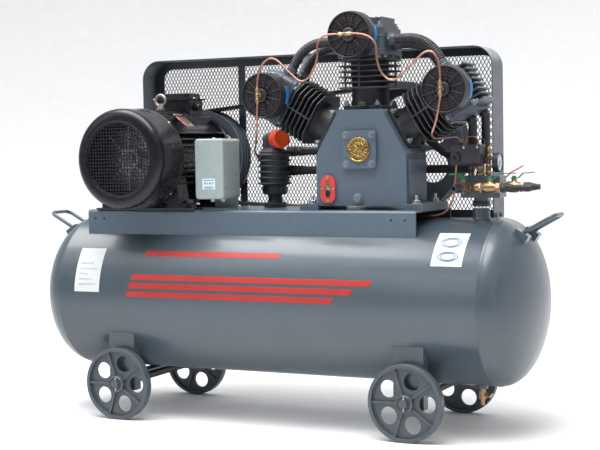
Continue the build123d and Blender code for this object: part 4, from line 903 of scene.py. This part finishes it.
def gauge_face():
    """Dial with ticks and plain figures, and the case with its bezel."""
    centre = Vector((span("pressure_gauge")[1].x, -1, 806))
    dial = Shape().lathe(centre - RIGHT * 3.9, RIGHT, [(0, 26.2), (0.6, 26.2), (0.6, 0)], 64)
    build("gauge_dial", dial, "dial_white")
    ways = [Vector((0, cos(a), sin(a))) for a in (radians(225 - 270 * k / 40) for k in range(41))]
    marks = Shape()
    for k, out in enumerate(ways):
        inner = 18.5 if k % 5 == 0 else 21
        marks.block((inner, -0.35, 0), (24, 0.35, 0.25), 0.05, facing(centre - RIGHT * 3.4, RIGHT, out), 1)
    build("gauge_marks", marks, "ink")
    upright = Matrix(((0, 0, 1), (1, 0, 0), (0, 1, 0))).to_4x4()
    for k in range(0, 9, 2):
        figure = bpy.data.curves.new(f"gauge_figure_{k}", "FONT")
        figure.body = str(2 * k)
        figure.size = 6.5 * MM
        figure.extrude = 0.1 * MM
        figure.align_x = figure.align_y = "CENTER"
        figure.materials.append(LOOKS["ink"])
        holder = link(bpy.data.objects.new(f"gauge_figure_{k}", figure))
        spot = centre - RIGHT * 3.2 + ways[5 * k] * 14
        holder.matrix_world = Matrix.Translation(spot * MM) @ upright
        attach(holder, CHASSIS)
    profile = [(-19, 6), (-19, 27), (-17, 29), (-3, 29), (-0.5, 28.6), (0, 27.6), (-0.4, 26.6), (-3.2, 26.4),
               (-4, 26.4), (-4, 6)]
    bezel = Shape().lathe(centre, RIGHT, profile, 72)
    build("gauge_case", bezel, "switch_plastic", stands_for=("pressure_gauge",))


def switch_trim():
    """Raised lid, side screws and cable collar of the pressure switch."""
    lid = Shape().block((611, -68.5, 806), (667.5, -13, 859.5), 3)
    lid.block((577, -66.5, 841), (612, -13, 859), 3)
    lid.lathe((592, -64, 823), FRONT, [(0, 14), (3, 13.5), (7, 12.5), (7, 8), (-2, 7.5), (-2, 0)], 40)
    build("switch_lid", lid, "switch_plastic")
    screws = Shape()
    for x in (618, 660):
        screws.lathe((x, -68.4, 852), FRONT, [(0, 3.4), (1.2, 3.2), (2, 2), (2, 0)], 18)
    build("switch_screws", screws, "zinc")
    route = [(612, -36, 859), (613, -36, 876), (622, -34, 884), (640, -32, 884), (650, -31, 876),
             (651, -31, 859)]
    build("switch_loop", Shape().pipe(smooth_route(route), 2.2, 12), "copper")


for valve in VALVES:
    ball_valve(*valve)
manifold_trim()
gauge_face()
switch_trim()


# ---------------------------------------------------------------- crankcase details
def case_trim():
    """Plain gilt medallion, bolt washers, drain plug, cylinder foot nuts, filler plug and case foot bolts."""
    centre = Vector((CRANK.x, span("crankcase_covers")[0].y, CRANK.z))
    face = centre + FRONT * 0.6
    disc = Shape().lathe(centre, FRONT, [(-3, 38), (0.5, 38), (2.4, 37), (2.8, 35.5), (2.2, 33.8), (1.0, 33),
                                         (0.6, 22), (1.6, 21), (1.6, 19.6), (0.8, 19), (0.8, 0)], 96)
    for k, out in enumerate(circle(16)):
        disc.block((24.5, -1.0, 0), (30.5 - 2.5 * (k % 2), 1.0, 0.8), 0.3, facing(face, FRONT, out), 1)
    for out in circle(6, turn=0.3):
        disc.block((4, -2.6, 0), (17, 2.6, 1.4), 1.0, facing(face, FRONT, out))
    build("case_medallion", disc, "gold")
    rim = Shape()
    for x, z in corners(42, 44):
        at = centre + Vector((x, 3.2, z))
        rim.lathe(at, FRONT, [(-0.2, 12), (1.6, 12), (2, 11)], 32)
        rim.lathe(at, FRONT, [(6, 7.2), (9.5, 7.0), (10, 5), (8.4, 4), (8.4, 0)], 24)
    plug = Vector((CRANK.x - 8, -100, 703))
    rim.nut(plug + FRONT * 4, FRONT, 11, 9)
    rim.lathe(plug, FRONT, [(0, 16), (4, 16), (4.6, 15)], 36)
    build("case_bolts", rim, "painted_bolt")
    feet = [(Vector((CRANK.x + x, y, 984)), UP, 8) for x, y in ((-50, -81), (50, -81), (-50, 55), (50, 55))]
    for bank in ("left", "right"):
        lean, y = BANKS[bank]
        feet += [(bank_point(bank, x, 133, y + dy), leaning(lean)[0], 7)
                 for x, dy in ((-52, -62), (52, -62), (-52, 62), (52, 62))]
    nuts = Shape()
    for base, out, length in feet:
        nuts.nut(base, out, 7.5, 8)
        nuts.stud(base + out * 8, out, 4.6, length)
    build("cylinder_foot_nuts", nuts, "painted_bolt")
    filler = Shape()
    filler.lathe((CRANK.x + 6, -88, 985), UP, [(-3, 13), (0, 13), (1, 14), (8, 14), (10, 12.5), (10, 0)], 36)
    filler.nut((CRANK.x + 96, -50, 955), (0.866, -0.2, 0.5), 8, 9)
    build("case_filler_plug", filler, "bracket_black")
    bolts = Shape()
    for x, y in ((-172, -80), (-172, 76), (172, -80), (172, 76)):
        base = Vector((CRANK.x + x, y, DECK_TOP + 18))
        bolts.lathe(base, UP, [(-0.2, 16), (2.4, 16), (2.6, 15.4)], 32)
        bolts.nut(base + UP * 2, UP, 10.5, 9)
        bolts.stud(base + UP * 11, UP, 5.4, 14.5, 1.5, 1.0)
    build("case_foot_bolts", bolts, "zinc")


def sight_window():
    """Oil level window in its red frame, with the bright level ball and its screws."""
    low, high = span("sight_glass")
    middle = (low + high) / 2
    x, y, z = middle.x, low.y, middle.z

    def pane(width, height, radius, depth, drop, thick, chamfer):
        place = facing((x, y + depth, z - drop), FRONT, RIGHT)
        return Shape().plate(rounded_outline(width, height, radius), place, thick, chamfer)

    build("sight_window", pane(15.4, 51, 7.6, 4, 0, 2.6, 0.4), "glass")
    level = pane(13.5, 22, 6.6, 3.2, 13, 1.2, 0.2)
    level.lathe((x, y + 2.0, z + 14), FRONT, [(0, 2.6), (1.0, 2.4), (1.2, 0)], 20)
    build("sight_oil", level, "ink")
    ball = Shape().lathe((x, y + 3.4, z + 14), FRONT, [(0, 6.6), (1.2, 6.6), (1.6, 5.8), (1.6, 0)], 32)
    ball.block((x - 6.6, y + 1.8, z - 2), (x + 6.6, y + 3.4, z + 5), 0.5)
    build("sight_ball", ball, "dial_white")
    ring = [(0, 8.6), (1.4, 8.6), (2, 8.0), (2, 6.8), (1, 6.7)]
    bright = Shape().lathe((x, y + 2.2, z + 14), FRONT, ring, 32)
    for across, up in ((0, 36), (0, -36), (-19, 0), (19, 0)):
        bright.lathe((x + across, y, z + up), FRONT, [(0, 4.2), (1.4, 4.0), (2.4, 2.6), (2.6, 0)], 24)
    build("sight_screws", bright, "brass")


case_trim()
sight_window()


# ---------------------------------------------------------------- cylinders and heads
def chamfered_outline(half, corner):
    """Square with its corners cut and softly rounded, as (x, y) points."""
    soft = corner * 0.28
    outline = []
    for sx, sy, order in ((1, 1, 1), (-1, 1, -1), (-1, -1, 1), (1, -1, -1)):
        a, b = (half, half - corner), (half - corner, half)
        points = [(a[0], a[1] - soft), (a[0] - soft * 0.12, a[1] + soft * 0.35),
                  (b[0] + soft * 0.35, b[1] - soft * 0.12), (b[0] - soft, b[1])]
        outline += [(sx * x, sy * y) for x, y in (points if order > 0 else reversed(points))]
    return outline


def cylinder(bank, replaced):
    """Cast barrel with its foot, six fins with cut corners, a rib down each side and a top flange."""
    lean, y = BANKS[bank]
    out, side = leaning(lean)

    def level(height):
        return facing(bank_point(bank, 0, height, y), out, side)

    profile = [(121, 45.1), (121, 60), (136, 60), (150, 57), (180, 57), (274, 60), (284, 60), (284, 45.1)]
    barrel = Shape().lathe(bank_point(bank, 0, 0, y), out, profile, 72, closed=True)
    barrel.plate(rounded_outline(134, 134, 16), level(121.2), 12, 1.2)
    for k in range(6):
        barrel.plate(chamfered_outline(84, 34), level(FIN_START + FIN_PITCH * k), 3.6, 0.9)
    barrel.plate(rounded_outline(150, 150, 16), level(273), 11, 1.0)
    rib_place = level(FIN_START)
    for x, lift, half_x, half_y in ((0, -84, 2, 3), (0, 84, 2, 3), (-84, 0, 3, 2), (84, 0, 3, 2)):
        barrel.block((x - half_x, lift - half_y, 0), (x + half_x, lift + half_y, 82), 0.8, rib_place, 1)
    build(f"cylinder_barrel_{bank}", barrel, "cast_black", stands_for=replaced)


def head_trim(bank):
    """Flange bolts and cover nuts of one cylinder head, and the flanges of its castings."""
    lean, y = BANKS[bank]
    out, side = leaning(lean)
    nuts = Shape()
    for sx in (-1, 0, 1):
        for sy in (-1, 1):
            for ax, ay in ((sx * 58, sy * 71), (sy * 71, sx * 58)):
                nuts.nut(bank_point(bank, ax, 276, y + ay), out, 7.5, 8, hint=side)
    for ax in (-60, 0, 60):
        for ay in (-64, 64):
            spot = bank_point(bank, ax, HEAD_TOP, y + ay)
            nuts.lathe(spot, out, [(-0.3, 9.5), (1.6, 9.5), (1.8, 9)], 28)
            nuts.nut(spot + out * 1.6, out, 7.8, 8)
            nuts.stud(spot + out * 9.5, out, 5, 9.5, 1.5, 1.0)
    build(f"head_nuts_{bank}", nuts, "painted_bolt")
    seams = Shape()
    for height in (298, 338):
        place = facing(bank_point(bank, 0, height, y), out, side)
        seams.plate(rounded_outline(154.4, 154.4, 14), place, 5, 1.2)
    build(f"head_flanges_{bank}", seams, "head_enamel")


for bank, replaced in (("left", ("cylinders",)), ("centre", ()), ("right", ())):
    cylinder(bank, replaced)
    head_trim(bank)


# ---------------------------------------------------------------- wheels, deck and handles
def wheel_trim(name, body, side):
    """Hub ring and tread beads of one wheel."""
    low, high = span(name)
    centre = (low + high) / 2
    face, out = (low.y, FRONT) if side < 0 else (high.y, BACK)
    ring = [(-0.4, 20), (0.4, 20), (1.2, 19), (1.4, 16), (1.4, 13)]
    hub = Shape().lathe((centre.x, face, centre.z), out, ring, 48)
    build(f"{name}_hub_ring", hub, "zinc", body=body)
    tread = Shape()
    for y in (centre.y - 3.2, centre.y + 3.2):
        bead = [(-1.4, 104.5), (-1.4, 103.6), (1.4, 103.6), (1.4, 104.5)]
        tread.lathe((centre.x, y, centre.z), BACK, bead, 96, closed=True)
    build(f"{name}_rim_bead", tread, "wheel_enamel", body=body)


def axle_pins():
    """Split pins, washers and painted ends that keep the wheels on their axles."""
    pins, caps = Shape(), Shape()
    low, high = span("axles")
    for x in (-AXLE_X, AXLE_X):
        for y, out in ((low.y, FRONT), (high.y, BACK)):
            inner = y - out.y * 4.5
            bends = ((x, AXLE_Z - 21), (x, AXLE_Z + 17), (x + 1, AXLE_Z + 21))
            pins.pipe([Vector((at, inner, z)) for at, z in bends], 1.7, 10)
            washer = [(0, 24.4), (2.2, 24.4), (2.6, 23.6), (2.6, 13)]
            pins.lathe((x, y + out.y * -7.3, AXLE_Z), out, washer, 48)
            caps.lathe((x, y, AXLE_Z), out, [(-6, 12.9), (0.6, 12.9), (1.6, 11.8), (2.0, 9.5), (2.0, 0)], 40)
    build("axle_split_pins", pins, "zinc")
    build("axle_end_caps", caps, "wheel_enamel")


def deck_trim():
    """Black discs set inside the platform skirt's holes as painted shade, and the weld runs where the legs
    meet the shell.
    """
    # Painted shade: a near-black disc a millimetre inside each skirt hole stands for the shade within it.
    holes = Shape()
    for x in (-632, -598, 462, 418):
        for y, out in ((-DECK_SKIRT, FRONT), (DECK_SKIRT, BACK)):
            holes.lathe((x, y, 640), out, [(-6, 3.9), (-1, 3.9), (-1, 0)], 20)
    build("deck_hole_painted_shade", holes, "ink")
    welds = Shape()
    for x in (-AXLE_X, AXLE_X):
        for across, way in corners(46.5, 1):
            run = [way * (196 + 26 * k / 13) for k in range(14)]
            path = [Vector((x + across, y, TANK.z - sqrt((TANK_R + 1.0) ** 2 - y * y))) for y in run]
            welds.pipe(path, 2.6, 8, ripple=0.8, pitch=5)
    build("leg_welds", welds, "enamel")


for row, side in (("front", -1), ("rear", 1)):
    for end in ("left", "right"):
        wheel_trim(f"wheel_{row}_{end}", f"{row}_{end}_wheel", side)
axle_pins()
deck_trim()


# ---------------------------------------------------------------- studio
def look_frame(yaw, pitch, roll):
    """Camera axes from its turn from +Y towards -X, its downward tilt and its roll, in degrees."""
    yaw, pitch, roll = (radians(a) for a in (yaw, pitch, roll))
    ahead = Vector((-sin(yaw) * cos(pitch), cos(yaw) * cos(pitch), -sin(pitch)))
    right = Vector((cos(yaw), sin(yaw), 0))
    up = right.cross(ahead)
    rolled_right = right * cos(roll) + up * sin(roll)
    rolled_up = up * cos(roll) - right * sin(roll)
    return Matrix((rolled_right, rolled_up, -ahead)).transposed().to_4x4()


camera = bpy.data.objects.new("camera", bpy.data.cameras.new("camera"))
camera.data.lens = 84.14
camera.data.sensor_width = 36.0
camera.matrix_world = Matrix.Translation((2.0104, -3.990, 0.8685)) @ look_frame(26.25, 3.27, -1.06)
link(camera)
bpy.context.scene.camera = camera


def area_light(name, place, aim, width, height, power, colour=(1, 1, 1)):
    light = bpy.data.lights.new(name, "AREA")
    light.shape = "RECTANGLE"
    light.size = width
    light.size_y = height
    light.energy = power
    light.color = colour
    holder = link(bpy.data.objects.new(name, light))
    holder.location = place
    holder.rotation_euler = (Vector(aim) - Vector(place)).to_track_quat("-Z", "Y").to_euler()


area_light("overhead", (-0.2, -0.7, 3.4), (0.0, 0.0, 0.6), 3.4, 1.8, 150)
area_light("key_left", (-3.4, -3.0, 2.4), (0.0, 0.0, 0.7), 1.4, 2.0, 14)
area_light("fill_right", (3.8, -2.4, 1.7), (0.1, 0.0, 0.6), 1.2, 2.0, 4)
area_light("back", (0.5, 4.4, 2.8), (0.1, 0.0, 0.7), 3.4, 1.6, 22)
sky = bpy.data.lights.new("sky", "SUN")
sky.energy = 1.5
sky.angle = radians(70)
sky_holder = link(bpy.data.objects.new("sky", sky))
sky_holder.rotation_euler = (radians(14), radians(-10), 0)

world = bpy.data.worlds.new("studio")
world.use_nodes = True
heaven = world.node_tree
way = shader(heaven, "ShaderNodeTexCoord").outputs["Generated"]
height = shader(heaven, "ShaderNodeSeparateXYZ", Vector=way).outputs["Z"]
feed(heaven, heaven.nodes["Background"], Strength=ramp(heaven, height, 0.0, 0.60, 0.10, 0.80),
     Color=(0.97, 0.985, 1.0, 1))
bpy.context.scene.world = world
bpy.context.scene.view_settings.view_transform = "Standard"


def floor_look():
    """Matt white sweep whose colour is painted darker well in front of the machine, as painted shade where
    the studio light falls off.
    """
    material = surface("floor_white", (900, 900, 905), (885, 885, 890), 0.8, 0, 0.5, 60, 100)
    tree = material.node_tree
    skin = tree.nodes["Principled BSDF"]
    depth = shader(tree, "ShaderNodeSeparateXYZ", Vector=shader(tree, "ShaderNodeTexCoord").outputs["Object"])
    white = skin.inputs["Base Color"].links[0].from_socket
    # Painted shade: the floor darkens to grey from 1.2 m to 6 m in front of the machine, which also darkens
    # what the machine reflects from that side.
    painted_falloff_colour = mix(tree, ramp(tree, depth.outputs["Y"], -1.2, -6.0), white, (0.42, 0.42, 0.43))
    tree.links.new(painted_falloff_colour, skin.inputs["Base Color"])
    return material


def backdrop():
    """Pale floor that sweeps up into a wall far from the machine on every side."""
    profile = [(0.4 * 1.35 ** k, 0.0) for k in range(14)]
    bend = profile[-1][0]
    profile += [(bend + 8 * sin(t), 8 - 8 * cos(t)) for t in [pi / 2 * k / 20 for k in range(1, 21)]]
    profile.append((bend + 8, 12.0))
    sides = 96
    points = [(0, 0, 0)]
    points += [(r * way.x, r * way.y, z) for r, z in profile for way in circle(sides, RIGHT, BACK)]
    faces = [(0, 1 + k, 1 + (k + 1) % sides) for k in range(sides)]
    for row in range(len(profile) - 1):
        for k in range(sides):
            here, after = 1 + row * sides + k, 1 + row * sides + (k + 1) % sides
            faces.append((here, here + sides, after + sides, after))
    mesh = bpy.data.meshes.new("floor")
    mesh.from_pydata(points, [], faces)
    for face in mesh.polygons:
        face.use_smooth = True
    mesh.materials.append(floor_look())
    link(bpy.data.objects.new("floor", mesh))


backdrop()
